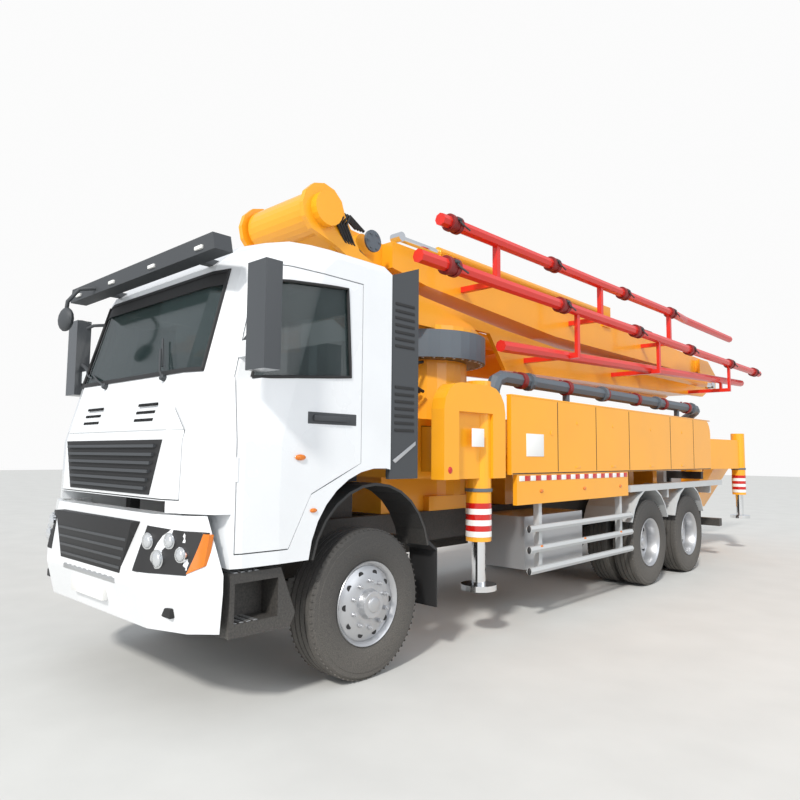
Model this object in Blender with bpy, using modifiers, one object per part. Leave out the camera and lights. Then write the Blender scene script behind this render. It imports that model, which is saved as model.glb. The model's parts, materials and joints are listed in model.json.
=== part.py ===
"""Concrete pump truck: three-axle cab-over chassis, four-section folding boom, four outriggers.

Truck frame: the vehicle faces -Y, its left side is +X and +Z is up. Lengths along Y are measured
from the front axle, and one datum empty moves the whole truck so that the origin is the bottom
centre of its bounding box. Everything is in metres.
"""
import math

import bmesh
import bpy
from mathutils import Matrix, Vector

# ---- running clearances -------------------------------------------------------------------------
SEAT = 0.0003            # gap between pieces that touch
RUN = 0.008              # gap between pieces that move past each other

# ---- wheels and axles ---------------------------------------------------------------------------
TYRE_R = 0.54
TYRE_W = 0.30
RIM_R = 0.298
WHEELBASE = 5.0
BOGIE_SPREAD = 1.40
FRONT_FACE_X = 1.185     # outer side of the front tyres
REAR_FACE_X = 1.243      # outer side of the twin tyres
TWIN_PITCH = 0.345
KINGPIN_X = 0.80
KINGPIN_R = 0.055

# ---- chassis ------------------------------------------------------------------------------------
RAIL_X = 0.43
RAIL_W = 0.08
RAIL_BOTTOM = 0.80
RAIL_TOP = 1.08
RAIL_FRONT = -1.10
RAIL_REAR = 8.15

# ---- cab ----------------------------------------------------------------------------------------
CAB_HALF = 1.24
CAB_BOTTOM = 0.93
CAB_BELT = 2.14
CAB_EAVES = 2.90
CAB_ROOF = 3.08
CAB_REAR = 0.14
CAB_WALL = 0.05
NOSE_Y = -1.47
CAB_FLOOR = 1.42
CAB_TUNNEL = 1.325
DOOR_FRONT = -1.17
DOOR_REAR = -0.17
DOOR_GAP = 0.008
CAB_TILT_Y = -1.44
CAB_TILT_Z = 1.27
BUMPER_BOTTOM = 0.56
BUMPER_TOP = 1.245
BUMPER_NOSE = -1.54

# ---- superstructure -----------------------------------------------------------------------------
BODY_HALF = 1.25
DECK_TOP = 2.20
PANEL_FRONT = 1.76
PANEL_REAR = 7.36
PANEL_BOTTOM = 1.448
SKIRT_BOTTOM = 1.16
PEDESTAL_R = 0.47
SLEW_Y = 1.95
RING_R = 0.67
RING_BOTTOM = 2.60
RING_TOP = 2.88

# ---- outriggers ---------------------------------------------------------------------------------
OUT_Y0 = 0.80            # front outrigger housing along the truck
OUT_Y1 = 1.66
OUT_BOTTOM = 1.42
OUT_TOP = 2.25
JACK_X = 1.10
JACK_Y = 1.45
JACK_FOOT_Z = 0.43
REAR_PIVOT_X = 0.86
REAR_PIVOT_Y = 7.72
REAR_KNUCKLE_Z = 1.40
REAR_JACK_Y = 9.30
REAR_FOOT_Z = 0.57
REAR_JACK_TOP = 2.06

# ---- boom ---------------------------------------------------------------------------------------
HINGE_A = (0.10, 3.70)   # lift hinge, (y, z)
HINGE_B = (10.25, 3.12)
HINGE_C = (0.78, 3.62)
HINGE_D = (10.05, 3.62)
TURRET_IN = 0.42
TURRET_OUT = 0.47
BOOM1_HALF = 0.38
BOOM1_WEB = 0.05
BOOM2_HALF = 0.34
CHEEK = 0.04
BOOM3_X = (-0.84, -0.60)
BOOM4_X = (-1.12, -0.90)
PIPE_R = 0.062

ROD_FIT = 0.0006         # sliding fit of rods and jack legs

# ---- overall -----------------------------------------------------------------------------------
FRONT_END = BUMPER_NOSE
REAR_END = 10.90
DATUM_Y = -(FRONT_END + REAR_END) / 2.0

YELLOW = ("boom_yellow", (0.93, 0.44, 0.01), 0.35, 0.0)
WHITE = ("cab_white", (0.86, 0.87, 0.88), 0.25, 0.0)
CHARCOAL = ("trim_charcoal", (0.06, 0.065, 0.07), 0.6, 0.0)
BLACK = ("chassis_black", (0.02, 0.02, 0.022), 0.6, 0.0)
TYRE = ("tyre_rubber", (0.035, 0.035, 0.036), 0.85, 0.0)
SILVER = ("silver_paint", (0.55, 0.56, 0.57), 0.35, 0.6)
GREY = ("light_grey", (0.55, 0.57, 0.58), 0.45, 0.0)
SLATE = ("slate_grey", (0.12, 0.15, 0.18), 0.5, 0.0)
RED = ("pipe_red", (0.75, 0.03, 0.02), 0.35, 0.0)
CHROME = ("rod_chrome", (0.8, 0.8, 0.8), 0.12, 1.0)
GLASS = ("tinted_glass", (0.05, 0.09, 0.09), 0.05, 0.0)
FABRIC = ("seat_fabric", (0.07, 0.07, 0.08), 0.9, 0.0)

EMPTIES = {}


def clear_scene():
    """Remove every object the file opens with."""
    for obj in list(bpy.data.objects):
        bpy.data.objects.remove(obj, do_unlink=True)


def collection(name):
    """Return the named collection, made and linked on first use."""
    coll = bpy.data.collections.get(name)
    if coll is None:
        coll = bpy.data.collections.new(name)
        bpy.context.scene.collection.children.link(coll)
    return coll


def material(look):
    """Return the Principled material of a look (name, colour, roughness, metallic)."""
    name, colour, rough, metal = look
    mat = bpy.data.materials.get(name)
    if mat is None:
        mat = bpy.data.materials.new(name)
        mat.use_nodes = True
        bsdf = mat.node_tree.nodes["Principled BSDF"]
        bsdf.inputs["Base Color"].default_value = (*colour, 1.0)
        bsdf.inputs["Roughness"].default_value = rough
        bsdf.inputs["Metallic"].default_value = metal
    return mat


def empty(name, at, parent=None):
    """Add a joint empty at a truck-frame point, under another empty."""
    obj = bpy.data.objects.new(name, None)
    obj.empty_display_size = 0.15
    collection("concrete_pump_truck").objects.link(obj)
    base = Vector((0.0, 0.0, 0.0))
    if parent:
        obj.parent, base = EMPTIES[parent]
    obj.location = Vector(at) - base
    EMPTIES[name] = (obj, Vector(at))


def mesh_object(name, bm):
    """Turn a bmesh into a helper object whose origin is the truck's own."""
    bmesh.ops.recalc_face_normals(bm, faces=bm.faces)
    if bm.calc_volume(signed=True) < 0:
        bmesh.ops.reverse_faces(bm, faces=bm.faces)
    mesh = bpy.data.meshes.new(name)
    bm.to_mesh(mesh)
    bm.free()
    obj = bpy.data.objects.new(name, mesh)
    collection("cutters").objects.link(obj)
    obj.hide_render = True
    obj.display_type = "WIRE"
    return obj


def box(x0, x1, y0, y1, z0, z1, name="box"):
    """Box between two corners."""
    bm = bmesh.new()
    size = Vector((x1 - x0, y1 - y0, z1 - z0))
    mid = Vector(((x0 + x1) / 2, (y0 + y1) / 2, (z0 + z1) / 2))
    bmesh.ops.create_cube(bm, size=1.0, matrix=Matrix.Translation(mid) @ Matrix.Diagonal((*size, 1.0)))
    return mesh_object(name, bm)


def rod(start, end, radius, sides=20, end_radius=None, name="rod"):
    """Cylinder, or cone, between two points."""
    a, b = Vector(start), Vector(end)
    bm = bmesh.new()
    turn = Vector((0, 0, 1)).rotation_difference(b - a).to_matrix().to_4x4()
    bmesh.ops.create_cone(
        bm, cap_ends=True, segments=sides, radius1=radius,
        radius2=radius if end_radius is None else end_radius, depth=(b - a).length,
        matrix=Matrix.Translation((a + b) / 2) @ turn @ Matrix.Rotation(math.pi / sides, 4, "Z"))
    return mesh_object(name, bm)


def curve_to_mesh(curve, name, matrix=None):
    """Weld a curve object's mesh and drop the curve."""
    obj = bpy.data.objects.new(name, curve)
    bpy.context.scene.collection.objects.link(obj)
    graph = bpy.context.evaluated_depsgraph_get()
    mesh = bpy.data.meshes.new_from_object(obj.evaluated_get(graph))
    bm = bmesh.new()
    bm.from_mesh(mesh)
    bmesh.ops.remove_doubles(bm, verts=bm.verts, dist=0.00005)
    bmesh.ops.dissolve_limit(bm, angle_limit=0.002, verts=bm.verts, edges=bm.edges)
    if matrix is not None:
        bm.transform(matrix)
    bpy.data.objects.remove(obj, do_unlink=True)
    bpy.data.meshes.remove(mesh)
    return mesh_object(name, bm)


AXES = {"X": Matrix(((0, 0, 1, 0), (1, 0, 0, 0), (0, 1, 0, 0), (0, 0, 0, 1))),
        "Y": Matrix(((1, 0, 0, 0), (0, 0, -1, 0), (0, 1, 0, 0), (0, 0, 0, 1))),
        "Z": Matrix.Identity(4)}


def plate(outline, axis, low, high, name="plate"):
    """Flat outline extruded from low to high along an axis.

    The outline is (y, z) along X, (x, z) along Y and (x, y) along Z.
    """
    curve = bpy.data.curves.new(name, "CURVE")
    curve.dimensions = "2D"
    curve.fill_mode = "BOTH"
    curve.extrude = abs(high - low) / 2
    line = curve.splines.new("POLY")
    line.points.add(len(outline) - 1)
    for point, (a, b) in zip(line.points, outline):
        point.co = (a, b, 0.0, 1.0)
    line.use_cyclic_u = True
    step = {"X": (1, 0, 0), "Y": (0, 1, 0), "Z": (0, 0, 1)}[axis]
    move = Matrix.Translation(Vector(step) * (low + high) / 2)
    return curve_to_mesh(curve, name, move @ AXES[axis])


def tube(points, radius, resolution=3, name="tube", closed=False):
    """Round bar along points, with filled ends."""
    curve = bpy.data.curves.new(name, "CURVE")
    curve.dimensions = "3D"
    curve.bevel_depth = radius
    curve.bevel_resolution = resolution
    curve.use_fill_caps = True
    line = curve.splines.new("POLY")
    line.points.add(len(points) - 1)
    for point, co in zip(line.points, points):
        point.co = (*co, 1.0)
    line.use_cyclic_u = closed
    return curve_to_mesh(curve, name)


def turned(profile, name="turned", steps=32):
    """Ring or disc turned about the X axis from an (x, radius) profile given outside in."""
    bm = bmesh.new()
    verts = [bm.verts.new((x, 0.0, r)) for x, r in profile]
    edges = [bm.edges.new((verts[i], verts[(i + 1) % len(verts)])) for i in range(len(verts))]
    mesh = bpy.data.meshes.new(name)
    bm.to_mesh(mesh)
    bm.free()
    del edges
    obj = bpy.data.objects.new(name, mesh)
    collection("cutters").objects.link(obj)
    screw = obj.modifiers.new("turn", "SCREW")
    screw.axis = "X"
    screw.steps = screw.render_steps = steps
    screw.use_merge_vertices = True
    screw.merge_threshold = 0.0001
    screw.use_normal_calculate = True
    return obj


def arc(centre, radius, start, stop, count):
    """Points on an arc in a plane, angles in degrees."""
    return [(centre[0] + radius * math.cos(math.radians(start + (stop - start) * i / count)),
             centre[1] + radius * math.sin(math.radians(start + (stop - start) * i / count)))
            for i in range(count + 1)]


def loft(rings, name="loft"):
    """Closed skin over rings of equal count, with flat ends."""
    bm = bmesh.new()
    rows = [[bm.verts.new(p) for p in ring] for ring in rings]
    for lower, upper in zip(rows, rows[1:]):
        for i in range(len(lower)):
            j = (i + 1) % len(lower)
            bm.faces.new((lower[i], lower[j], upper[j], upper[i]))
    bm.faces.new(rows[0])
    bm.faces.new(rows[-1])
    return mesh_object(name, bm)


def joined(base, *tools, op="UNION"):
    """Join tools to base, or cut them from it, with live Booleans."""
    for tool in tools:
        tool.parent = base
        tool.hide_render = True
        tool.display_type = "WIRE"
        mod = base.modifiers.new(op.lower(), "BOOLEAN")
        mod.operation = op
        mod.solver = "EXACT"
        mod.object = tool
    return base


def cut(base, *tools):
    """Cut tools from base."""
    return joined(base, *tools, op="DIFFERENCE")


def part(name, look, obj, joint="datum", at=None, turn=None):
    """Name a finished piece, give it its material and hang it on its joint's empty."""
    obj.name = name
    obj.data.name = name
    obj.hide_render = False
    obj.display_type = "TEXTURED"
    for coll in list(obj.users_collection):
        coll.objects.unlink(obj)
    collection("concrete_pump_truck").objects.link(obj)
    obj.data.materials.clear()
    obj.data.materials.append(material(look))
    obj.parent, origin = EMPTIES[joint]
    obj.location = (Vector(at) if at else Vector((0, 0, 0))) - origin
    if turn:
        obj.rotation_euler = turn
    return obj


def mirrored(outline):
    """The same (x, other) outline on the truck's right side."""
    return [(-a, b) for a, b in outline]


def make_joints():
    """Empties on every joint axis, outermost last."""
    EMPTIES["datum"] = (None, Vector((0, 0, 0)))
    datum = bpy.data.objects.new("datum", None)
    collection("concrete_pump_truck").objects.link(datum)
    datum.location = (0.0, DATUM_Y, 0.0)
    EMPTIES["datum"] = (datum, Vector((0, 0, 0)))
    empty("cab_tilt", (0, CAB_TILT_Y, CAB_TILT_Z), "datum")
    empty("slew", (0, SLEW_Y, RING_TOP), "datum")
    empty("boom_1_hinge", (0, *HINGE_A), "slew")
    empty("boom_2_hinge", (0, *HINGE_B), "boom_1_hinge")
    empty("boom_3_hinge", (0, *HINGE_C), "boom_2_hinge")
    empty("boom_4_hinge", (0, *HINGE_D), "boom_3_hinge")
    for side, s in (("left", 1), ("right", -1)):
        empty(f"{side}_steering", (s * KINGPIN_X, 0, TYRE_R), "datum")
        empty(f"{side}_door_hinge", (s * DOOR_HINGE_X, DOOR_FRONT, 1.5), "cab_tilt")
        empty(f"front_{side}_slide", (s * JACK_X, JACK_Y, 1.8), "datum")
        empty(f"front_{side}_jack_slide", (s * JACK_X, JACK_Y, 1.2), f"front_{side}_slide")
        empty(f"rear_{side}_swing", (s * REAR_PIVOT_X, REAR_PIVOT_Y, 1.7), "datum")
        empty(f"rear_{side}_jack_slide", (s * JACK_X, REAR_JACK_Y, 1.2), f"rear_{side}_swing")
    empty("hopper_grate_hinge", (0, GRATE_Y0, GRATE_Z), "datum")


DOOR_HINGE_X = 1.205
GRATE_Y0 = 8.80
GRATE_Y1 = 9.86
GRATE_Z = 1.525


def wheel(name, look, faces, joint, centre_y, side):
    """One tyre and disc, or a twin pair, turned about X; faces are (outer, inner) x pairs."""
    hub_out = faces[0][0] - 0.035
    body = None
    for outer, inner in faces:
        r = TYRE_R
        prof = [(outer - 0.02, RIM_R), (outer, 0.42), (outer - 0.03, r), (inner + 0.03, r), (inner, 0.42),
                (inner + 0.02, RIM_R - 0.03), ((outer + inner) / 2, RIM_R - 0.05)]
        ring = turned(prof, name + "_ring", 24)
        body = ring if body is None else joined(body, ring)
    inner_end = faces[-1][1] if len(faces) > 1 else faces[0][1] + 0.13
    disc_x = faces[0][0] - (0.06 if len(faces) == 1 else 0.17)
    joined(body, rod((disc_x - 0.03, 0, 0), (disc_x, 0, 0), RIM_R - 0.01, 24))
    joined(body, rod((inner_end + 0.02, 0, 0), (hub_out, 0, 0), 0.13, 16))
    if len(faces) > 1:
        joined(body, rod((faces[1][0] - 0.14, 0, 0), (faces[1][0] - 0.11, 0, 0), RIM_R - 0.01, 24))
    return part(name, look, body, joint, at=(0, centre_y, TYRE_R), turn=None if side > 0 else (0, 0, math.pi))


def running_gear():
    """Frame, axles, knuckles and wheels."""
    rails = [box(s * RAIL_X - RAIL_W / 2, s * RAIL_X + RAIL_W / 2, RAIL_FRONT, RAIL_REAR, RAIL_BOTTOM, RAIL_TOP)
             for s in (1, -1)]
    cross = [box(-RAIL_X, RAIL_X, y - 0.06, y + 0.06, RAIL_BOTTOM + 0.04, RAIL_TOP - 0.04)
             for y in (-1.0, 1.1, 2.6, 4.0, 5.7, 7.4, 8.05)]
    springs = [box(s * RAIL_X - 0.045, s * RAIL_X + 0.045, -0.75, 0.75, 0.655, RAIL_BOTTOM + 0.01) for s in (1, -1)]
    bar = [box(-1.15, 1.15, 8.00, 8.12, 0.52, 0.64)]
    bar += [box(s * RAIL_X - 0.03, s * RAIL_X + 0.03, 8.02, 8.10, 0.60, RAIL_BOTTOM + 0.05) for s in (1, -1)]
    mounts = [box(s * RAIL_X - 0.035, s * RAIL_X + 0.035, y - 0.04, y + 0.04, RAIL_TOP - 0.02, CAB_TUNNEL - SEAT)
              for s in (1, -1) for y in (RAIL_FRONT + 0.06, 0.08)]
    mounts += [box(min(s * 0.40, s * 0.97), max(s * 0.40, s * 0.97), REAR_PIVOT_Y + 0.02, REAR_PIVOT_Y + 0.12, 1.28, REAR_KNUCKLE_Z - SEAT) for s in (1, -1)]
    mounts += [box(s * RAIL_X - 0.03, s * RAIL_X + 0.03, REAR_PIVOT_Y + 0.03, REAR_PIVOT_Y + 0.11, RAIL_TOP - 0.02, 1.30) for s in (1, -1)]
    part("chassis_frame", BLACK, joined(rails[0], *cross, rails[1], *springs, *bar, *mounts))
    beam = box(-KINGPIN_X + KINGPIN_R + SEAT, KINGPIN_X - KINGPIN_R - SEAT, -0.07, 0.07, TYRE_R - 0.09, TYRE_R + 0.05)
    pads = [box(s * RAIL_X - 0.08, s * RAIL_X + 0.08, -0.10, 0.10, TYRE_R, 0.655 - SEAT) for s in (1, -1)]
    part("front_axle", BLACK, joined(beam, *pads))
    bogie = None
    inner = REAR_FACE_X - TWIN_PITCH - TYRE_W + 0.02 - SEAT
    for y in (WHEELBASE, WHEELBASE + BOGIE_SPREAD):
        casing = rod((-inner, y, TYRE_R), (inner, y, TYRE_R), 0.085, 16)
        bogie = casing if bogie is None else joined(bogie, casing)
        joined(bogie, rod((0, y - 0.23, TYRE_R), (0, y + 0.23, TYRE_R), 0.21, 16))
    for s in (1, -1):
        joined(bogie, box(s * RAIL_X - 0.045, s * RAIL_X + 0.045, WHEELBASE - 0.16, WHEELBASE + BOGIE_SPREAD + 0.16, TYRE_R, TYRE_R + 0.14),
               box(s * RAIL_X - 0.07, s * RAIL_X + 0.07, WHEELBASE + 0.5, WHEELBASE + 0.9, TYRE_R + 0.1, RAIL_BOTTOM - SEAT))
    part("tandem_axles", BLACK, bogie)
    for side, s in (("left", 1), ("right", -1)):
        k = rod((s * KINGPIN_X, 0, TYRE_R - 0.10), (s * KINGPIN_X, 0, TYRE_R + 0.10), KINGPIN_R, 16)
        stub = rod((s * KINGPIN_X, 0, TYRE_R), (s * (FRONT_FACE_X - TYRE_W + 0.15 - SEAT), 0, TYRE_R), 0.05, 12)
        part(f"{side}_steering_knuckle", BLACK, joined(k, stub), f"{side}_steering")
        outer = FRONT_FACE_X
        wheel(f"front_{side}_wheel", TYRE, [(outer, outer - TYRE_W)], f"{side}_steering", 0.0, s)
        for row, y in (("middle", WHEELBASE), ("rear", WHEELBASE + BOGIE_SPREAD)):
            o = REAR_FACE_X
            wheel(f"{row}_{side}_twin_wheels", TYRE,
                  [(o, o - TYRE_W), (o - TWIN_PITCH, o - TWIN_PITCH - TYRE_W)], "datum", y, s)
    arm_x = RAIL_X - RAIL_W / 2 - SEAT
    part("engine_block", BLACK, joined(box(-0.335, 0.335, -0.62, 0.60, TYRE_R + 0.10, 1.30), box(-arm_x, arm_x, -0.2, 0.2, 0.86, 0.95)))


def cab_ring(z, nose, inset=0.0):
    """Plan outline of the cab at a height, with the nose at y = nose."""
    w = CAB_HALF - inset
    n = nose + inset
    half = [(0.78, n + 0.035), (1.00, n + 0.10), (w - 0.075, n + 0.19), (w - 0.02, n + 0.34), (w, n + 0.60),
            (w, CAB_REAR - inset)]
    if inset:
        half = [(x - inset * 0.6 if x < w - 0.1 else x, y) for x, y in half]
    ring = [(-x, y, z) for x, y in reversed(half)] + [(x, y, z) for x, y in half]
    return ring


CAB_SHAPE = ((CAB_BOTTOM, -1.47), (1.30, -1.475), (1.70, -1.465), (CAB_BELT, -1.35), (CAB_EAVES, -1.13), (3.0, -1.02))


def cab_skin(inset, bottom):
    """Cab volume; inset 0 is the outer skin."""
    rings = [cab_ring(bottom, -1.47, inset)] + [cab_ring(z, nose, inset) for z, nose in CAB_SHAPE if z > bottom + 0.02]
    top = [(x * 0.93, y if y > -0.5 else y + 0.10, CAB_ROOF - inset) for x, y, _ in cab_ring(3.0, -1.02, inset)]
    return loft(rings + [top])


def doors_outline(grow):
    """Side outline (y, z) of a door, grown by a gap."""
    g = grow
    return [(DOOR_FRONT - g, 1.02 - g), (DOOR_FRONT - g, 2.10), (-0.98 - g, 2.86 + g), (DOOR_REAR + g, 2.86 + g),
            (DOOR_REAR + g, 1.56), (-0.40 + g * 0.7, 1.46 - g), (-0.62, 1.36 - g), (-0.80 + g * 0.3, 1.02 - g)]


WINDOW = ((-1.08, 2.10), (-0.93, 2.75), (-0.32, 2.80), (-0.28, 2.17))


def window_outline(grow):
    """Side outline of the door window."""
    signs = ((-1, -1), (-1, 1), (1, 1), (1, -1))
    return [(y + sy * grow, z + sz * grow) for (y, z), (sy, sz) in zip(WINDOW, signs)]


def cab():
    """Tilting cab with doors, glass, flap, visor, deflectors and inside."""
    shell = cab_skin(0.0, CAB_BOTTOM)
    arch = rod((-2, 0.03, 0.86), (2, 0.03, 0.86), 0.665, 32)
    under = box(-2, 2, 0.03, 0.60, 0.5, 1.425)
    centre = box(-0.82, 0.82, -2.0, 1.0, 0.5, CAB_TUNNEL)
    nose = box(-2, 2, -2, -1.20, 0.5, BUMPER_TOP + 0.01)
    for tool in (arch, under, centre, nose):
        cut(shell, tool)
    inner = cab_skin(CAB_WALL, CAB_FLOOR)
    cut(shell, inner)
    cut(shell, plate([(-0.93, CAB_BELT + 0.02), (0.93, CAB_BELT + 0.02), (0.90, 2.84), (-0.90, 2.84)], "Y", -1.7, -0.95))
    cut(shell, box(-0.80, 0.80, CAB_REAR - 0.2, CAB_REAR + 0.2, 2.2, 2.75))
    cut(shell, box(-0.93, 0.93, -1.7, -1.36, 1.33, 2.03))
    for s in (1, -1):
        cut(shell, plate(doors_outline(DOOR_GAP), "X", s * 0.95, s * 1.5))
    part("cab_shell", WHITE, shell, "cab_tilt")
    # front service flap
    flap = cab_skin(0.0, CAB_BOTTOM)
    joined(flap, box(-0.922, 0.922, -1.7, -1.373, 1.338, 2.022), op="INTERSECT")
    part("front_flap", WHITE, flap, "cab_tilt")
    # windscreen
    screen = cab_skin(0.012, CAB_BOTTOM)
    cut(screen, cab_skin(0.03, CAB_BOTTOM))
    joined(screen, plate([(-0.93 + SEAT, CAB_BELT + 0.02 + SEAT), (0.93 - SEAT, CAB_BELT + 0.02 + SEAT),
                          (0.90 - SEAT, 2.84 - SEAT), (-0.90 + SEAT, 2.84 - SEAT)], "Y", -1.7, -0.95), op="INTERSECT")
    part("windscreen", GLASS, screen, "cab_tilt")
    for side, s in (("left", 1), ("right", -1)):
        door = cab_skin(0.0, CAB_BOTTOM)
        cut(door, cab_skin(0.045, CAB_BOTTOM - 0.1))
        joined(door, plate(doors_outline(0.0), "X", s * 0.95, s * 1.5), op="INTERSECT")
        cut(door, plate(window_outline(0.0), "X", s * 0.9, s * 1.6))
        arm = tube([(s * 1.10, -1.10, 2.30), (s * 1.40, -1.16, 2.42)], 0.02)
        glass_case = box(min(s * 1.30, s * 1.49), max(s * 1.30, s * 1.49), -1.20, -1.08, 2.12, 2.78)
        fix = box(min(s * 1.15, s * 1.32), max(s * 1.15, s * 1.32), -1.155, -1.115, 2.22, 2.32)
        pin = rod((s * DOOR_HINGE_X, DOOR_FRONT, 1.45), (s * DOOR_HINGE_X, DOOR_FRONT, 1.60), DOOR_GAP - SEAT, 12)
        joined(door, fix, glass_case, pin)
        bpy.data.objects.remove(arm, do_unlink=True)
        part(f"{side}_door", WHITE, door, f"{side}_door_hinge")
        pane = cab_skin(0.012, CAB_BOTTOM)
        cut(pane, cab_skin(0.03, CAB_BOTTOM))
        joined(pane, plate(window_outline(-SEAT), "X", s * 0.9, s * 1.6), op="INTERSECT")
        part(f"{side}_door_glass", GLASS, pane, f"{side}_door_hinge")
        wing = plate([(CAB_REAR + SEAT, 1.44), (CAB_REAR + SEAT, 3.0), (0.46, 3.12), (0.46, 1.44)], "X",
                     s * 1.19, s * 1.23)
        part(f"{side}_side_deflector", CHARCOAL, wing, "cab_tilt")
        steps = plate([(-1.195, 0.52), (-1.195, 0.90), (-0.82, 0.90), (-0.70, 0.60), (-0.74, 0.52)], "X", s * 0.93, s * 1.20)
        pocket = box(min(s * 1.02, s * 1.3), max(s * 1.02, s * 1.3), -1.16, -0.84, 0.60, 0.84)
        cut(steps, pocket)
        guard = plate(arc((0.03, 0.80), 0.615, 169, 10, 12) + arc((0.03, 0.80), 0.595, 10, 169, 12), "X", s * 0.88, s * 1.20)
        link = box(min(s * 0.935, s * 0.965), max(s * 0.935, s * 0.965), -0.90, -0.560, 0.893, 0.923)
        stay = box(min(s * (RAIL_X + RAIL_W / 2 + SEAT), s * 1.0), max(s * (RAIL_X + RAIL_W / 2 + SEAT), s * 1.0), 0.60, 0.65, 0.90, 0.96)
        part(f"{side}_front_mudguard", BLACK, joined(guard, steps, link, stay))
    visor = plate([(-1.13, 2.88), (1.13, 2.88), (1.10, 2.99), (-1.10, 2.99)], "Y", -1.33, -1.20)
    cut(visor, cab_skin(-SEAT, CAB_BOTTOM))
    brackets = [box(s * 0.7 - 0.03, s * 0.7 + 0.03, -1.25, -1.02, 2.90, 2.94) for s in (1, -1)]
    for b in brackets:
        cut(b, cab_skin(-SEAT, CAB_BOTTOM))
    part("sun_visor", CHARCOAL, joined(visor, *brackets), "cab_tilt")
    seat_parts = [box(-1.0, 1.0, -0.62, 0.02, CAB_FLOOR + SEAT, CAB_FLOOR + 0.12)]
    for s in (1, -1):
        seat_parts += [box(s * 0.62 - 0.26, s * 0.62 + 0.26, -0.62, -0.06, CAB_FLOOR + 0.1, CAB_FLOOR + 0.45),
                       box(s * 0.62 - 0.25, s * 0.62 + 0.25, -0.18, -0.04, CAB_FLOOR + 0.4, CAB_FLOOR + 1.05)]
    part("cab_seats", FABRIC, joined(*seat_parts), "cab_tilt")
    dash = plate([(-1.20, CAB_FLOOR + SEAT), (-1.20, 2.08), (-0.98, 2.05), (-0.88, 1.86), (-1.02, CAB_FLOOR + SEAT)],
                 "X", -0.85, 0.85)
    joined(dash, rod((0.62, -1.00, 1.88), (0.62, -0.85, 2.03), 0.03, 10), rod((0.62, -0.875, 2.0), (0.62, -0.855, 2.03), 0.20, 20))
    part("cab_dashboard", CHARCOAL, dash, "cab_tilt")
    low = [[(x, y, z) for x, y, z in ring] for ring in
           ([(-x, y, z) for x, y in reversed(h)] + [(x, y, z) for x, y in h] for z, h in (
               (BUMPER_BOTTOM, [(0.75, BUMPER_NOSE + 0.06), (1.05, BUMPER_NOSE + 0.16), (1.19, -1.25), (0.9, -1.21)]),
               (0.80, [(0.75, BUMPER_NOSE), (1.08, BUMPER_NOSE + 0.12), (1.23, -1.26), (0.9, -1.21)]),
               (0.905, [(0.75, BUMPER_NOSE), (1.08, BUMPER_NOSE + 0.13), (1.23, -1.26), (0.9, -1.21)]),
               (BUMPER_TOP, [(0.75, BUMPER_NOSE + 0.07), (1.00, BUMPER_NOSE + 0.14), (1.10, -1.30), (0.9, -1.21)])))]
    bumper = loft(low)
    cut(bumper, box(-0.80, 0.80, -1.36, -1.0, 0.5, 1.4))
    joined(bumper, *[box(s * RAIL_X - 0.05, s * RAIL_X + 0.05, -1.40, RAIL_FRONT - SEAT, 0.84, 1.04) for s in (1, -1)])
    part("front_bumper", WHITE, bumper)


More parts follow.
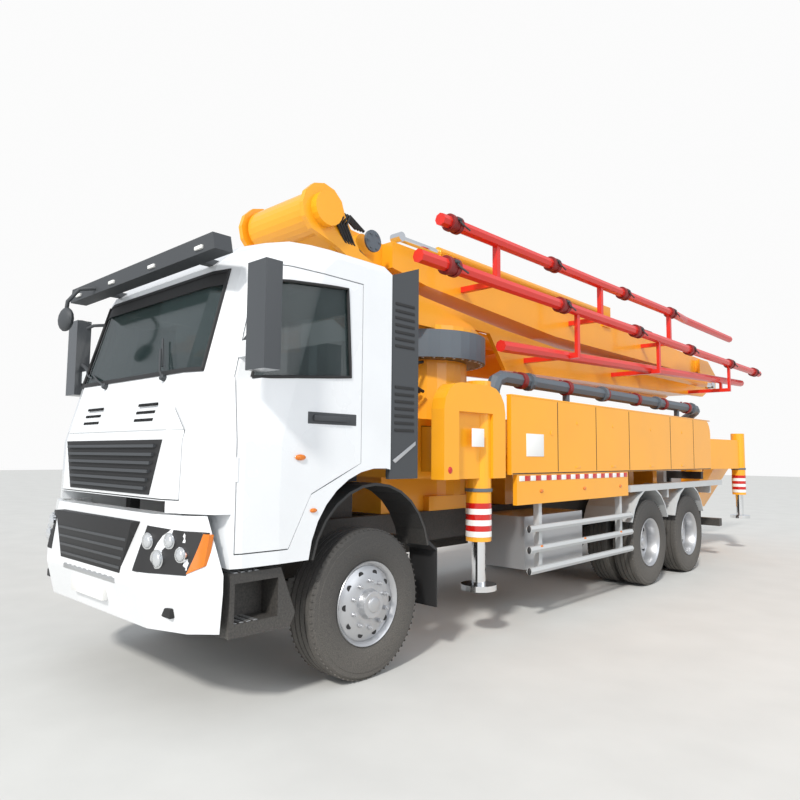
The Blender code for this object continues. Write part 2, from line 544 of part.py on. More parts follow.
def superstructure():
    """Deck body, pedestal, guards, tank, pump, hopper and deck pipe."""
    deck = box(-1.10, 1.10, PANEL_FRONT + 0.02, PANEL_REAR - 0.02, 1.46, 1.62)
    cut(deck, rod((0, SLEW_Y, 1.0), (0, SLEW_Y, 2.0), PEDESTAL_R + SEAT, 28))
    for s in (1, -1):
        outline = [(PANEL_FRONT, PANEL_BOTTOM)] + [(PANEL_REAR, PANEL_BOTTOM)] + \
            arc((PANEL_REAR - 0.22, DECK_TOP - 0.22), 0.22, 0, 90, 5) + [(PANEL_FRONT, DECK_TOP)]
        wall = plate(outline, "X", s * (BODY_HALF - 0.05), s * BODY_HALF)
        skirt = box(min(s * 1.20, s * 1.245), max(s * 1.20, s * 1.245), PANEL_FRONT + 0.1, 4.32, SKIRT_BOTTOM, PANEL_BOTTOM + 0.02)
        shelf = box(min(s * 1.05, s * 1.22), max(s * 1.05, s * 1.22), PANEL_FRONT + 0.02, PANEL_REAR - 0.3, 1.47, 1.60)
        joined(deck, wall, skirt, shelf)
    feet = [box(-0.47, 0.47, y - 0.08, y + 0.08, RAIL_TOP + SEAT, 1.50) for y in (2.9, 4.6, 6.2, 7.1)]
    part("deck_body", YELLOW, joined(deck, *feet))
    post = rod((0, SLEW_Y, RAIL_TOP + 0.04), (0, SLEW_Y, RING_BOTTOM - SEAT), PEDESTAL_R, 28)
    foot = box(-0.47, 0.47, SLEW_Y - 0.45, SLEW_Y + 0.45, RAIL_TOP + SEAT, RAIL_TOP + 0.14)
    house = box(-0.90, 0.90, OUT_Y0, OUT_Y1, OUT_BOTTOM, OUT_BOTTOM + 0.52)
    tie = box(-0.40, 0.40, OUT_Y0 + 0.1, SLEW_Y, RAIL_TOP + SEAT, OUT_BOTTOM + 0.3)
    joined(post, foot, tie, house)
    for s in (1, -1):
        cut(post, box(min(s * 0.05, s * 1.0), max(s * 0.05, s * 1.0), OUT_Y0 + 0.08, OUT_Y1 - 0.08, OUT_BOTTOM + 0.06, OUT_BOTTOM + 0.46))
    part("pedestal", YELLOW, post)
    part("slewing_ring", SLATE, rod((0, SLEW_Y, RING_BOTTOM), (0, SLEW_Y, RING_TOP - SEAT), RING_R, 36))
    for side, s in (("left", 1), ("right", -1)):
        rails = [tube([(s * 1.225, 2.10, z), (s * 1.225, 4.42, z)], 0.035, 1) for z in (0.52, 0.72, 0.92)]
        posts = [box(min(s * 1.14, s * 1.20), max(s * 1.14, s * 1.20), y - 0.03, y + 0.03, 0.48, SKIRT_BOTTOM - SEAT)
                 for y in (2.35, 4.2)]
        hooks = [box(min(s * 1.15, s * 1.23), max(s * 1.15, s * 1.23), y - 0.02, y + 0.02, z - 0.02, z + 0.02)
                 for y in (2.35, 4.2) for z in (0.52, 0.72, 0.92)]
        part(f"{side}_side_guard", GREY, joined(posts[0], *hooks, *rails, posts[1]))
        tank = box(min(s * 0.52, s * 1.08), max(s * 0.52, s * 1.08), 2.25, 3.45, 0.50, 1.02)
        lug = box(min(s * (RAIL_X + RAIL_W / 2 + SEAT), s * 0.60), max(s * (RAIL_X + RAIL_W / 2 + SEAT), s * 0.60), 2.5, 3.2, 0.84, 1.0)
        part(("fuel_tank", "battery_box")[s < 0], (SILVER, BLACK)[s < 0], joined(tank, lug))
    fenders = None
    for s in (1, -1):
        for y in (WHEELBASE, WHEELBASE + BOGIE_SPREAD):
            bow = plate(arc((y, 0.62), 0.62, 160, 20, 8) + arc((y, 0.62), 0.60, 20, 160, 8), "X", s * 0.60, s * 1.24)
            fenders = bow if fenders is None else joined(fenders, bow)
        joined(fenders, box(min(s * 1.16, s * 1.24), max(s * 1.16, s * 1.24), 4.40, 7.90, 1.195, 1.275))
    joined(fenders, *[box(-1.2, 1.2, y - 0.03, y + 0.03, RAIL_TOP + SEAT, 1.225) for y in (5.70, 7.45)])
    part("rear_mudguards", GREY, fenders)
    drum = box(-0.36, 0.36, 7.95, 8.55, 1.15, 1.98)
    cyls = [rod((s * 0.17, 4.9, 1.90), (s * 0.17, 8.0, 1.80), 0.13, 16) for s in (1, -1)]
    legs = [box(-0.42, 0.42, 7.60, 7.72, RAIL_TOP + SEAT, 1.76), box(-0.30, 0.30, 5.0, 5.12, 1.62 + SEAT, 1.84)]
    part("pump_unit", GREY, joined(drum, *cyls, *legs))
    rim = [(-0.72, 8.75), (0.72, 8.75), (0.80, 9.05), (0.80, 9.92), (-0.80, 9.92), (-0.80, 9.05)]
    low = [(-0.40, 8.75), (0.40, 8.75), (0.42, 8.90), (0.42, 9.55), (-0.42, 9.55), (-0.42, 8.90)]
    bowl = loft([[(x, y, 0.72) for x, y in low], [(x, y, 1.50) for x, y in rim]])
    hollow = loft([[(x * 0.9, y + (0.04 if y < 9 else -0.05), 0.78) for x, y in low],
                   [(x * 0.94, y + (0.04 if y < 9 else -0.05), 1.52) for x, y in rim]])
    cut(bowl, hollow)
    mount = box(-0.30, 0.30, 8.555, 8.77, 0.95, 1.40)
    arms = [box(s * RAIL_X - 0.04, s * RAIL_X + 0.04, RAIL_REAR + SEAT, 8.80, 0.84, 1.02) for s in (1, -1)]
    part("hopper", YELLOW, joined(bowl, mount, *arms))
    grate = box(-0.74, 0.74, GRATE_Y0, GRATE_Y1, GRATE_Z - 0.025 + SEAT, GRATE_Z + 0.02)
    cut(grate, *[box(-0.68, 0.68, GRATE_Y0 + 0.08 + i * 0.20, GRATE_Y0 + 0.20 + i * 0.20, 1.4, 1.6) for i in range(5)])
    part("hopper_grate", BLACK, grate, "hopper_grate_hinge")
    pipe = tube([(0.98, 1.85, 1.621), (0.98, 1.85, 2.27), (0.98, 1.90, 2.36), (0.98, 2.00, 2.40), (0.98, 7.50, 2.40),
                 (0.95, 7.62, 2.38), (0.80, 7.75, 2.30), (0.42, 8.05, 2.14), (0.31, 8.12, 2.08), (0.30, 8.13, 2.04), (0.30, 8.13, 1.9805)], PIPE_R + 0.01, 2)
    clamps = [rod((0.98, y - 0.03, 2.40), (0.98, y + 0.03, 2.40), 0.095, 14) for y in (2.5, 4.2, 5.9, 7.3)]
    stands = [box(0.953, 1.011, y - 0.03, y + 0.03, 1.62 + SEAT, 2.35) for y in (3.3, 6.7)]
    part("deck_delivery_pipe", SLATE, joined(pipe, *clamps, *stands))


JACK_R = 0.062


def jack(name, x, y, foot, top, joint):
    """Jack leg: inner tube with a round foot."""
    leg = rod((x, y, foot + 0.03), (x, y, top), JACK_R, 20)
    pad = rod((x, y, foot), (x, y, foot + 0.05), 0.16, 20)
    part(name, CHROME, joined(leg, pad), joint)


def outriggers():
    """Front sliding and rear swinging outriggers with their jacks."""
    for side, s in (("left", 1), ("right", -1)):
        post = rod((s * JACK_X, JACK_Y, 0.86), (s * JACK_X, JACK_Y, 2.30), 0.115, 20)
        beam = box(min(s * 0.07, s * 1.16), max(s * 0.07, s * 1.16), OUT_Y0 + 0.09, OUT_Y1 - 0.09, OUT_BOTTOM + 0.06 + SEAT, OUT_BOTTOM + 0.45)
        hoop = plate([(0.78, OUT_BOTTOM)] + arc((1.02, OUT_TOP - 0.24), 0.24, 180, 90, 4) + arc((1.44, OUT_TOP - 0.24), 0.24, 90, 0, 4) +
                     [(1.68, OUT_BOTTOM)], "X", s * 1.10, s * 1.24)
        cut(hoop, plate([(0.98, OUT_BOTTOM - 0.05), (0.98, 2.0), (1.48, 2.0), (1.48, OUT_BOTTOM - 0.05)], "X", s * 1.175, s * 1.3))
        joined(hoop, beam, post)
        cut(hoop, rod((s * JACK_X, JACK_Y, 0.80), (s * JACK_X, JACK_Y, 2.20), JACK_R + ROD_FIT, 20))
        part(f"front_{side}_outrigger", YELLOW, hoop, f"front_{side}_slide")
        jack(f"front_{side}_jack_leg", s * JACK_X, JACK_Y, JACK_FOOT_Z, 1.95, f"front_{side}_jack_slide")
        arm = plate([(s * (REAR_PIVOT_X - 0.14), REAR_PIVOT_Y - 0.12), (s * (REAR_PIVOT_X + 0.10), REAR_PIVOT_Y - 0.12),
                     (s * (JACK_X + 0.06), REAR_JACK_Y), (s * (JACK_X - 0.10), REAR_JACK_Y)], "Z", 1.44, 1.94)
        tower = rod((s * JACK_X, REAR_JACK_Y, 0.98), (s * JACK_X, REAR_JACK_Y, REAR_JACK_TOP), 0.11, 20)
        knuckle = rod((s * REAR_PIVOT_X, REAR_PIVOT_Y, REAR_KNUCKLE_Z), (s * REAR_PIVOT_X, REAR_PIVOT_Y, 1.98), 0.13, 16)
        joined(arm, knuckle, tower)
        cut(arm, rod((s * JACK_X, REAR_JACK_Y, 0.90), (s * JACK_X, REAR_JACK_Y, 1.98), JACK_R + ROD_FIT, 20))
        part(f"rear_{side}_outrigger", YELLOW, arm, f"rear_{side}_swing")
        jack(f"rear_{side}_jack_leg", s * JACK_X, REAR_JACK_Y, REAR_FOOT_Z, 1.80, f"rear_{side}_jack_slide")


def cylinder_pair(name, base, eye, radius, half, joint_base, joint_rod):
    """Hydraulic cylinder: barrel on its base pin, rod reaching to its eye."""
    a, b = Vector(base), Vector(eye)
    way = (b - a).normalized()
    side = Vector((half, 0, 0))
    barrel = rod(a, a + way * ((b - a).length * 0.86), radius, 18)
    joined(barrel, rod(a - side, a + side, radius * 0.95, 14))
    cut(barrel, rod(a + way * (radius * 1.6), b + way, radius * 0.56 + ROD_FIT, 16))
    part(f"{name}_barrel", YELLOW, barrel, joint_base)
    stem = rod(a + way * (radius * 1.6 + 0.02), b, radius * 0.56, 16)
    joined(stem, rod(b - side * 0.75, b + side * 0.75, radius * 0.8, 14))
    part(f"{name}_rod", CHROME, stem, joint_rod)


A_BASE = (0.0, 1.50, 3.095)
A_EYE = (0.0, 3.55, 2.995)
B_BASE = (0.56, 6.60, 2.98)
B_EYE = (0.56, 9.70, 3.00)
C_BASE = (0.25, 5.70, 3.78)
C_EYE = (0.25, 1.25, 3.80)


def boom():
    """Turret, four boom sections, their pipes and cylinders."""
    ay, az = HINGE_A
    by, bz = HINGE_B
    cy, cz = HINGE_C
    dy, dz = HINGE_D
    for name, parent, base, eye in (("lift", "slew", A_BASE, A_EYE), ("fold_2", "boom_1_hinge", B_BASE, B_EYE),
                                    ("fold_3", "boom_2_hinge", C_BASE, C_EYE)):
        empty(f"{name}_barrel_pin", base, parent)
        empty(f"{name}_rod_slide", eye, f"{name}_barrel_pin")
    # turret
    disc = rod((0, SLEW_Y, RING_TOP), (0, SLEW_Y, RING_TOP + 0.06), 0.60, 28)
    for s in (1, -1):
        web = plate([(1.30, RING_TOP + 0.02), (2.35, RING_TOP + 0.02), (2.20, 3.02), (0.95, 3.27), (0.52, 3.44)] +
                    arc((ay, az), 0.235, 5, 235, 8) + [(0.25, 3.42)], "X", s * TURRET_IN, s * TURRET_OUT)
        boss = rod((s * (TURRET_IN + 0.01), ay, az), (s * (TURRET_OUT + 0.07), ay, az), 0.15, 20)
        pin = rod((s * (BOOM1_HALF + 0.003 + SEAT), ay, az), (s * (TURRET_IN + 0.02), ay, az), 0.13, 20)
        ear = box(min(s * 0.095, s * 0.135), max(s * 0.095, s * 0.135), 1.38, 1.62, RING_TOP + 0.03, 3.17)
        joined(disc, web, boss, pin, ear)
    part("turret", YELLOW, disc, "slew")
    # section 1
    side_line = [(0.15, 3.54), (0.70, 3.12), (1.30, 3.02), (2.66, 3.012), (2.98, 2.62), (by - 0.5, 2.80), (by + 0.10, bz - 0.085),
                 (by + 0.10, bz + 0.02), (by - 0.30, bz + 0.02), (4.2, 3.035), (2.9, 3.10), (1.5, 3.22), (1.1, 3.29), (0.60, 3.43), (0.30, 3.80)]
    beam = plate([(4.00, 2.70), (by - 0.55, 2.84), (by - 0.42, bz - 0.03), (4.30, 2.99), (4.00, 2.98)], "X",
                 -BOOM1_HALF + 0.023, BOOM1_HALF - 0.023)
    for s in (1, -1):
        joined(beam, plate(side_line, "X", s * (BOOM1_HALF - BOOM1_WEB), s * BOOM1_HALF))
    joined(beam, rod((-BOOM1_HALF - 0.003, ay, az), (BOOM1_HALF + 0.003, ay, az), 0.19, 24),
           plate([(0.02, 3.56), (0.02, 3.84), (0.28, 3.80), (0.42, 3.60), (0.50, 3.34), (0.34, 3.42)], "X", -BOOM1_HALF + 0.012, BOOM1_HALF - 0.012))
    joined(beam, rod((-BOOM1_HALF - RUN + SEAT, by, bz), (BOOM1_HALF + RUN - SEAT, by, bz), 0.085, 16),
           rod((0.09, A_EYE[1], A_EYE[2]), (BOOM1_HALF - 0.02, A_EYE[1], A_EYE[2]), 0.06, 14),
           rod((-BOOM1_HALF + 0.02, A_EYE[1], A_EYE[2]), (-0.09, A_EYE[1], A_EYE[2]), 0.06, 14))
    joined(beam, rod((BOOM1_HALF - 0.02, B_BASE[1], B_BASE[2]), (B_BASE[0] - 0.075, B_BASE[1], B_BASE[2]), 0.06, 12))
    part("boom_section_1", YELLOW, beam, "boom_1_hinge")
    # section 2: beam over section 1, cheeks outside it at the rear hinge
    x2 = BOOM1_HALF + RUN
    top_beam = plate([(cy + 0.30, 3.44), (1.60, 3.36), (4.2, 3.20), (by - 0.42, 3.20), (by - 0.30, 3.42), (by - 0.42, 3.54),
                      (4.2, 3.66), (cy + 0.30, 3.70)], "X", -BOOM2_HALF, BOOM2_HALF)
    for s in (1, -1):
        joined(top_beam, plate([(by - 0.75, 3.24), (by - 0.30, bz - 0.14), (by + 0.14, bz - 0.12), (by + 0.16, bz + 0.14),
                                (by - 0.28, 3.50), (by - 0.75, 3.50)], "X", s * x2, s * (x2 + CHEEK)),
               box(min(s * (BOOM2_HALF - 0.02), s * (x2 + 0.02)), max(s * (BOOM2_HALF - 0.02), s * (x2 + 0.02)),
                   by - 0.74, by - 0.34, 3.26, 3.48))
    joined(top_beam, plate([(cy - 0.16, cz - 0.12), (cy - 0.16, cz + 0.12), (cy + 0.34, 3.70), (cy + 0.34, 3.44)], "X", -0.30, 0.20),
           rod((BOOM3_X[1] + SEAT, cy, cz), (0.24, cy, cz), 0.10, 18))
    joined(top_beam, *[box(min(0.25 + s * 0.085, 0.25 + s * 0.115), max(0.25 + s * 0.085, 0.25 + s * 0.115), 5.58, 5.82, 3.55, 3.86)
                       for s in (1, -1)])
    part("boom_section_2", YELLOW, top_beam, "boom_2_hinge")
    # section 3 and 4, beside section 2 on the right
    x0, x1 = BOOM3_X
    third = plate([(cy - 0.14, cz - 0.13), (cy - 0.14, cz + 0.13), (dy + 0.12, dz + 0.11), (dy + 0.12, dz - 0.11)], "X", x0, x1)
    joined(third, rod((BOOM4_X[1] + SEAT, dy, dz), (x0 + 0.02, dy, dz), 0.09, 18))
    part("boom_section_3", YELLOW, third, "boom_3_hinge")
    x0, x1 = BOOM4_X
    part("boom_section_4", YELLOW, plate([(dy + 0.12, dz - 0.11), (dy + 0.12, dz + 0.11), (1.9, dz + 0.07), (1.9, dz - 0.07)], "X",
                                         x0, x1 - 0.0), "boom_4_hinge")
    # pipes
    lower = tube([(1.08, 0.62, 3.30), (1.08, 10.9, 3.30)], PIPE_R, 2)
    mid = tube([(0.94, 2.05, 2.73), (0.94, 10.2, 3.06)], PIPE_R, 2)
    ties = []
    for y, z in ((3.4, 2.78), (5.8, 2.84), (9.0, 2.83)):      # along the beam, height of the bracket
        mid_z = 2.73 + (3.06 - 2.73) * (y - 2.05) / (10.2 - 2.05)
        ties += [box(BOOM1_HALF + SEAT, 1.10, y - 0.03, y + 0.03, z - 0.03, z + 0.03),
                 box(1.06, 1.10, y - 0.03, y + 0.03, z, 3.29),
                 box(0.92, 0.96, y - 0.028, y + 0.028, min(z, mid_z), max(z, mid_z))]
    part("boom_1_pipes", RED, joined(lower, *ties, mid), "boom_1_hinge")
    upper = tube([(0.80, 1.25, 3.86), (0.80, 7.3, 3.93), (0.72, 7.9, 3.96), (0.72, 10.35, 3.96)], PIPE_R, 2)
    holds = [box(BOOM2_HALF + SEAT, 0.82, y - 0.03, y + 0.03, 3.40, 3.46) for y in (2.2, 4.6, 7.0)]
    holds += [box(0.76, 0.82, y - 0.03, y + 0.03, 3.42, 3.90) for y in (2.2, 4.6, 7.0)]
    part("boom_2_pipes", RED, joined(upper, *holds), "boom_2_hinge")
    cylinder_pair("lift", A_BASE, A_EYE, 0.09, 0.095 - SEAT, "lift_barrel_pin", "lift_rod_slide")
    cylinder_pair("fold_2", B_BASE, B_EYE, 0.075, 0.07, "fold_2_barrel_pin", "fold_2_rod_slide")
    cylinder_pair("fold_3", C_BASE, C_EYE, 0.06, 0.085 - SEAT, "fold_3_barrel_pin", "fold_3_rod_slide")


def main():
    """Build the whole truck."""
    clear_scene()
    make_joints()
    running_gear()
    cab()
    superstructure()
    outriggers()
    boom()


main()
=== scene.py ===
"""Looks of the truck-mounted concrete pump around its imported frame: detail pieces, finishes, light and camera."""
import json
import logging
import math
from dataclasses import dataclass, field
from enum import Enum

import bmesh
import bpy
from mathutils import Matrix, Vector

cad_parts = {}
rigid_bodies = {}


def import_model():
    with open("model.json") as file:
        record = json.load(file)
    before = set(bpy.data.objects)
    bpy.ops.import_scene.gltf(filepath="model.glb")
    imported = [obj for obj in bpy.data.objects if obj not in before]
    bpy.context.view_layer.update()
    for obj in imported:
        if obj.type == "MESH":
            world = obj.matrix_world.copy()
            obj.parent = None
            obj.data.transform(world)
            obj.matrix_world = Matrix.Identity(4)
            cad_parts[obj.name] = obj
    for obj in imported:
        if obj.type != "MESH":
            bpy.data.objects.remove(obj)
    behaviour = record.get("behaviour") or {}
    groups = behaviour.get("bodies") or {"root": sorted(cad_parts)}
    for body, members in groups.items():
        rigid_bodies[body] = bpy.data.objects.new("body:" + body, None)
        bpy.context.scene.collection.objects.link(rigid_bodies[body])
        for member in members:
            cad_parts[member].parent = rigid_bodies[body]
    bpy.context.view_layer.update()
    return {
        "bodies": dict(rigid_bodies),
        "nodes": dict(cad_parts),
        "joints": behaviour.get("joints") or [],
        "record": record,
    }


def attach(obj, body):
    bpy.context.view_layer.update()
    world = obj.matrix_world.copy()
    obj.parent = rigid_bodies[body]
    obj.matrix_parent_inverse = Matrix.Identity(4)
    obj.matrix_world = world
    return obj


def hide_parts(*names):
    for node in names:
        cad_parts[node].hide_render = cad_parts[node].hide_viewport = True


LOG = logging.getLogger("pump_truck")
DATUM_Y = -4.68


class Side(Enum):
    """Side of the truck and its sign along X."""

    LEFT = 1
    RIGHT = -1


class Pattern(Enum):
    """Surface pattern of a finish."""

    PAINT = "paint"
    METAL = "metal"
    RUBBER = "rubber"
    PLASTIC = "plastic"
    FABRIC = "fabric"
    GLASS = "glass"
    LENS = "lens"


@dataclass(frozen=True)
class Finish:
    """One procedural finish: colour, shine, pattern and how much dust it carries."""

    name: str
    colour: tuple
    rough: float
    metal: float
    pattern: Pattern
    bump: float = 0.02
    scale: float = 40.0
    dust: float = 0.10
    coat: float = 0.0
    outside_x: float = 0.0
    outside_colour: tuple = (0.05, 0.055, 0.06)

    def _split(self, nodes, links, position, inner):
        """Change colour beyond a distance from the truck's centre line.

        Args:
            nodes: Node list of the material.
            links: Link list of the material.
            position: Separate XYZ node of the object coordinates.
            inner: Colour socket used inside that distance.

        Returns:
            The mixed colour socket.
        """
        size, test, mix = nodes.new("ShaderNodeMath"), nodes.new("ShaderNodeMath"), nodes.new("ShaderNodeMix")
        size.operation, test.operation = "ABSOLUTE", "GREATER_THAN"
        test.inputs[1].default_value = self.outside_x
        mix.data_type = "RGBA"
        mix.inputs["B"].default_value = (*self.outside_colour, 1.0)
        links.new(position.outputs["X"], size.inputs[0])
        links.new(size.outputs["Value"], test.inputs[0])
        links.new(test.outputs["Value"], mix.inputs["Factor"])
        links.new(inner, mix.inputs["A"])
        return mix.outputs["Result"]

    def build(self) -> bpy.types.Material:
        """Make or return the material.

        Returns:
            The node material of this finish.
        """
        found = bpy.data.materials.get("look_" + self.name)
        if found:
            return found
        mat = bpy.data.materials.new("look_" + self.name)
        mat.use_nodes = True
        tree = mat.node_tree
        nodes, links = tree.nodes, tree.links
        bsdf = nodes["Principled BSDF"]
        coords = nodes.new("ShaderNodeTexCoord")
        broad = nodes.new("ShaderNodeTexNoise")
        broad.inputs["Scale"].default_value = 1.7
        broad.inputs["Detail"].default_value = 5.0
        links.new(coords.outputs["Object"], broad.inputs["Vector"])
        fine = nodes.new("ShaderNodeTexVoronoi" if self.pattern is Pattern.FABRIC else "ShaderNodeTexNoise")
        fine.inputs["Scale"].default_value = self.scale
        links.new(coords.outputs["Object"], fine.inputs["Vector"])
        fine_out = fine.outputs["Distance"] if self.pattern is Pattern.FABRIC else fine.outputs["Fac"]
        shade = nodes.new("ShaderNodeMix")
        shade.data_type = "RGBA"
        shade.inputs["A"].default_value = (*[c * 0.90 for c in self.colour], 1.0)
        shade.inputs["B"].default_value = (*[min(1.0, c * 1.06) for c in self.colour], 1.0)
        links.new(broad.outputs["Fac"], shade.inputs["Factor"])
        position = nodes.new("ShaderNodeSeparateXYZ")
        links.new(coords.outputs["Object"], position.inputs["Vector"])
        height = nodes.new("ShaderNodeMapRange")
        height.inputs["From Min"].default_value = 1.5
        height.inputs["From Max"].default_value = 0.1
        height.inputs["To Max"].default_value = self.dust
        links.new(position.outputs["Z"], height.inputs["Value"])
        amount = nodes.new("ShaderNodeMath")
        amount.operation = "MULTIPLY"
        links.new(height.outputs["Result"], amount.inputs[0])
        links.new(fine_out, amount.inputs[1])
        dusty = nodes.new("ShaderNodeMix")
        dusty.data_type = "RGBA"
        dusty.inputs["B"].default_value = (0.30, 0.27, 0.23, 1.0)
        links.new(amount.outputs["Value"], dusty.inputs["Factor"])
        painted = shade.outputs["Result"]
        if self.outside_x:
            painted = self._split(nodes, links, position, painted)
        links.new(painted, dusty.inputs["A"])
        links.new(dusty.outputs["Result"], bsdf.inputs["Base Color"])
        rough = nodes.new("ShaderNodeMapRange")
        rough.inputs["To Min"].default_value = max(0.02, self.rough - 0.06)
        rough.inputs["To Max"].default_value = min(1.0, self.rough + 0.08)
        links.new(broad.outputs["Fac"], rough.inputs["Value"])
        links.new(rough.outputs["Result"], bsdf.inputs["Roughness"])
        bump = nodes.new("ShaderNodeBump")
        bump.inputs["Strength"].default_value = self.bump
        bump.inputs["Distance"].default_value = 0.002
        links.new(fine_out, bump.inputs["Height"])
        links.new(bump.outputs["Normal"], bsdf.inputs["Normal"])
        bsdf.inputs["Metallic"].default_value = self.metal
        bsdf.inputs["Coat Weight"].default_value = self.coat
        bsdf.inputs["Coat Roughness"].default_value = 0.08
        if self.pattern is Pattern.GLASS:
            bsdf.inputs["Transmission Weight"].default_value = 0.55
            bsdf.inputs["Alpha"].default_value = 0.80
        if self.pattern is Pattern.LENS:
            bsdf.inputs["Transmission Weight"].default_value = 0.25
        return mat


YELLOW = Finish("boom_yellow", (0.93, 0.40, 0.012), 0.34, 0.0, Pattern.PAINT, 0.015, 60.0, 0.25, 0.35)
WHITE = Finish("cab_white", (0.82, 0.84, 0.86), 0.22, 0.0, Pattern.PAINT, 0.008, 60.0, 0.15, 0.6)
CHARCOAL = Finish("charcoal_plastic", (0.055, 0.06, 0.066), 0.58, 0.0, Pattern.PLASTIC, 0.10, 300.0, 0.2)
BLACK = Finish("chassis_black", (0.016, 0.017, 0.019), 0.55, 0.0, Pattern.PAINT, 0.03, 80.0, 0.5)
TYRE = Finish("tyre_rubber", (0.030, 0.031, 0.033), 0.82, 0.0, Pattern.RUBBER, 0.12, 140.0, 0.6)
SILVER = Finish("wheel_silver", (0.56, 0.57, 0.59), 0.33, 0.75, Pattern.METAL, 0.02, 120.0, 0.2)
CHROME = Finish("bright_chrome", (0.80, 0.81, 0.82), 0.08, 1.0, Pattern.METAL, 0.004, 200.0, 0.0)
GREY = Finish("light_grey_paint", (0.52, 0.54, 0.55), 0.42, 0.0, Pattern.PAINT, 0.02, 80.0, 0.3)
SLATE = Finish("slate_paint", (0.105, 0.13, 0.155), 0.46, 0.0, Pattern.PAINT, 0.02, 70.0, 0.1)
RED = Finish("pipe_red", (0.72, 0.022, 0.012), 0.30, 0.0, Pattern.PAINT, 0.015, 70.0, 0.0, 0.3)
MAROON = Finish("clamp_maroon", (0.24, 0.02, 0.02), 0.45, 0.2, Pattern.METAL, 0.04, 90.0, 0.0)
GLASS = Finish("tinted_glass", (0.035, 0.060, 0.060), 0.04, 0.0, Pattern.GLASS, 0.001, 5.0, 0.0)
FABRIC = Finish("seat_fabric", (0.06, 0.06, 0.07), 0.92, 0.0, Pattern.FABRIC, 0.30, 600.0, 0.0)
HOSE = Finish("hose_rubber", (0.018, 0.018, 0.019), 0.60, 0.0, Pattern.RUBBER, 0.06, 200.0, 0.0)
LAMP = Finish("lamp_clear", (0.70, 0.72, 0.74), 0.06, 0.35, Pattern.LENS, 0.02, 90.0, 0.0, 0.8)
AMBER = Finish("amber_lens", (0.90, 0.24, 0.01), 0.15, 0.0, Pattern.LENS, 0.04, 200.0, 0.0, 0.5)
CRIMSON = Finish("red_lens", (0.70, 0.015, 0.01), 0.18, 0.0, Pattern.LENS, 0.04, 200.0, 0.0, 0.5)
REFLECT = Finish("white_reflector", (0.86, 0.86, 0.84), 0.25, 0.0, Pattern.PLASTIC, 0.05, 300.0, 0.1)
TREAD = Finish("step_aluminium", (0.60, 0.61, 0.62), 0.40, 0.85, Pattern.METAL, 0.15, 150.0, 0.3)
FLOOR = Finish("floor_grey", (0.62, 0.62, 0.60), 0.90, 0.0, Pattern.PLASTIC, 0.02, 8.0, 0.0)

DOOR = Finish("door_paint", (0.82, 0.84, 0.86), 0.26, 0.0, Pattern.PAINT, 0.008, 60.0, 0.15, 0.4, 1.262)

NODE_LOOK = {"boom_yellow": YELLOW, "cab_white": WHITE, "trim_charcoal": CHARCOAL, "chassis_black": BLACK, "tyre": TYRE,
             "silver": SILVER, "light_grey": GREY, "slate": SLATE, "pipe_red": RED, "rod_chrome": CHROME, "glass": GLASS,
             "seat_fabric": FABRIC}


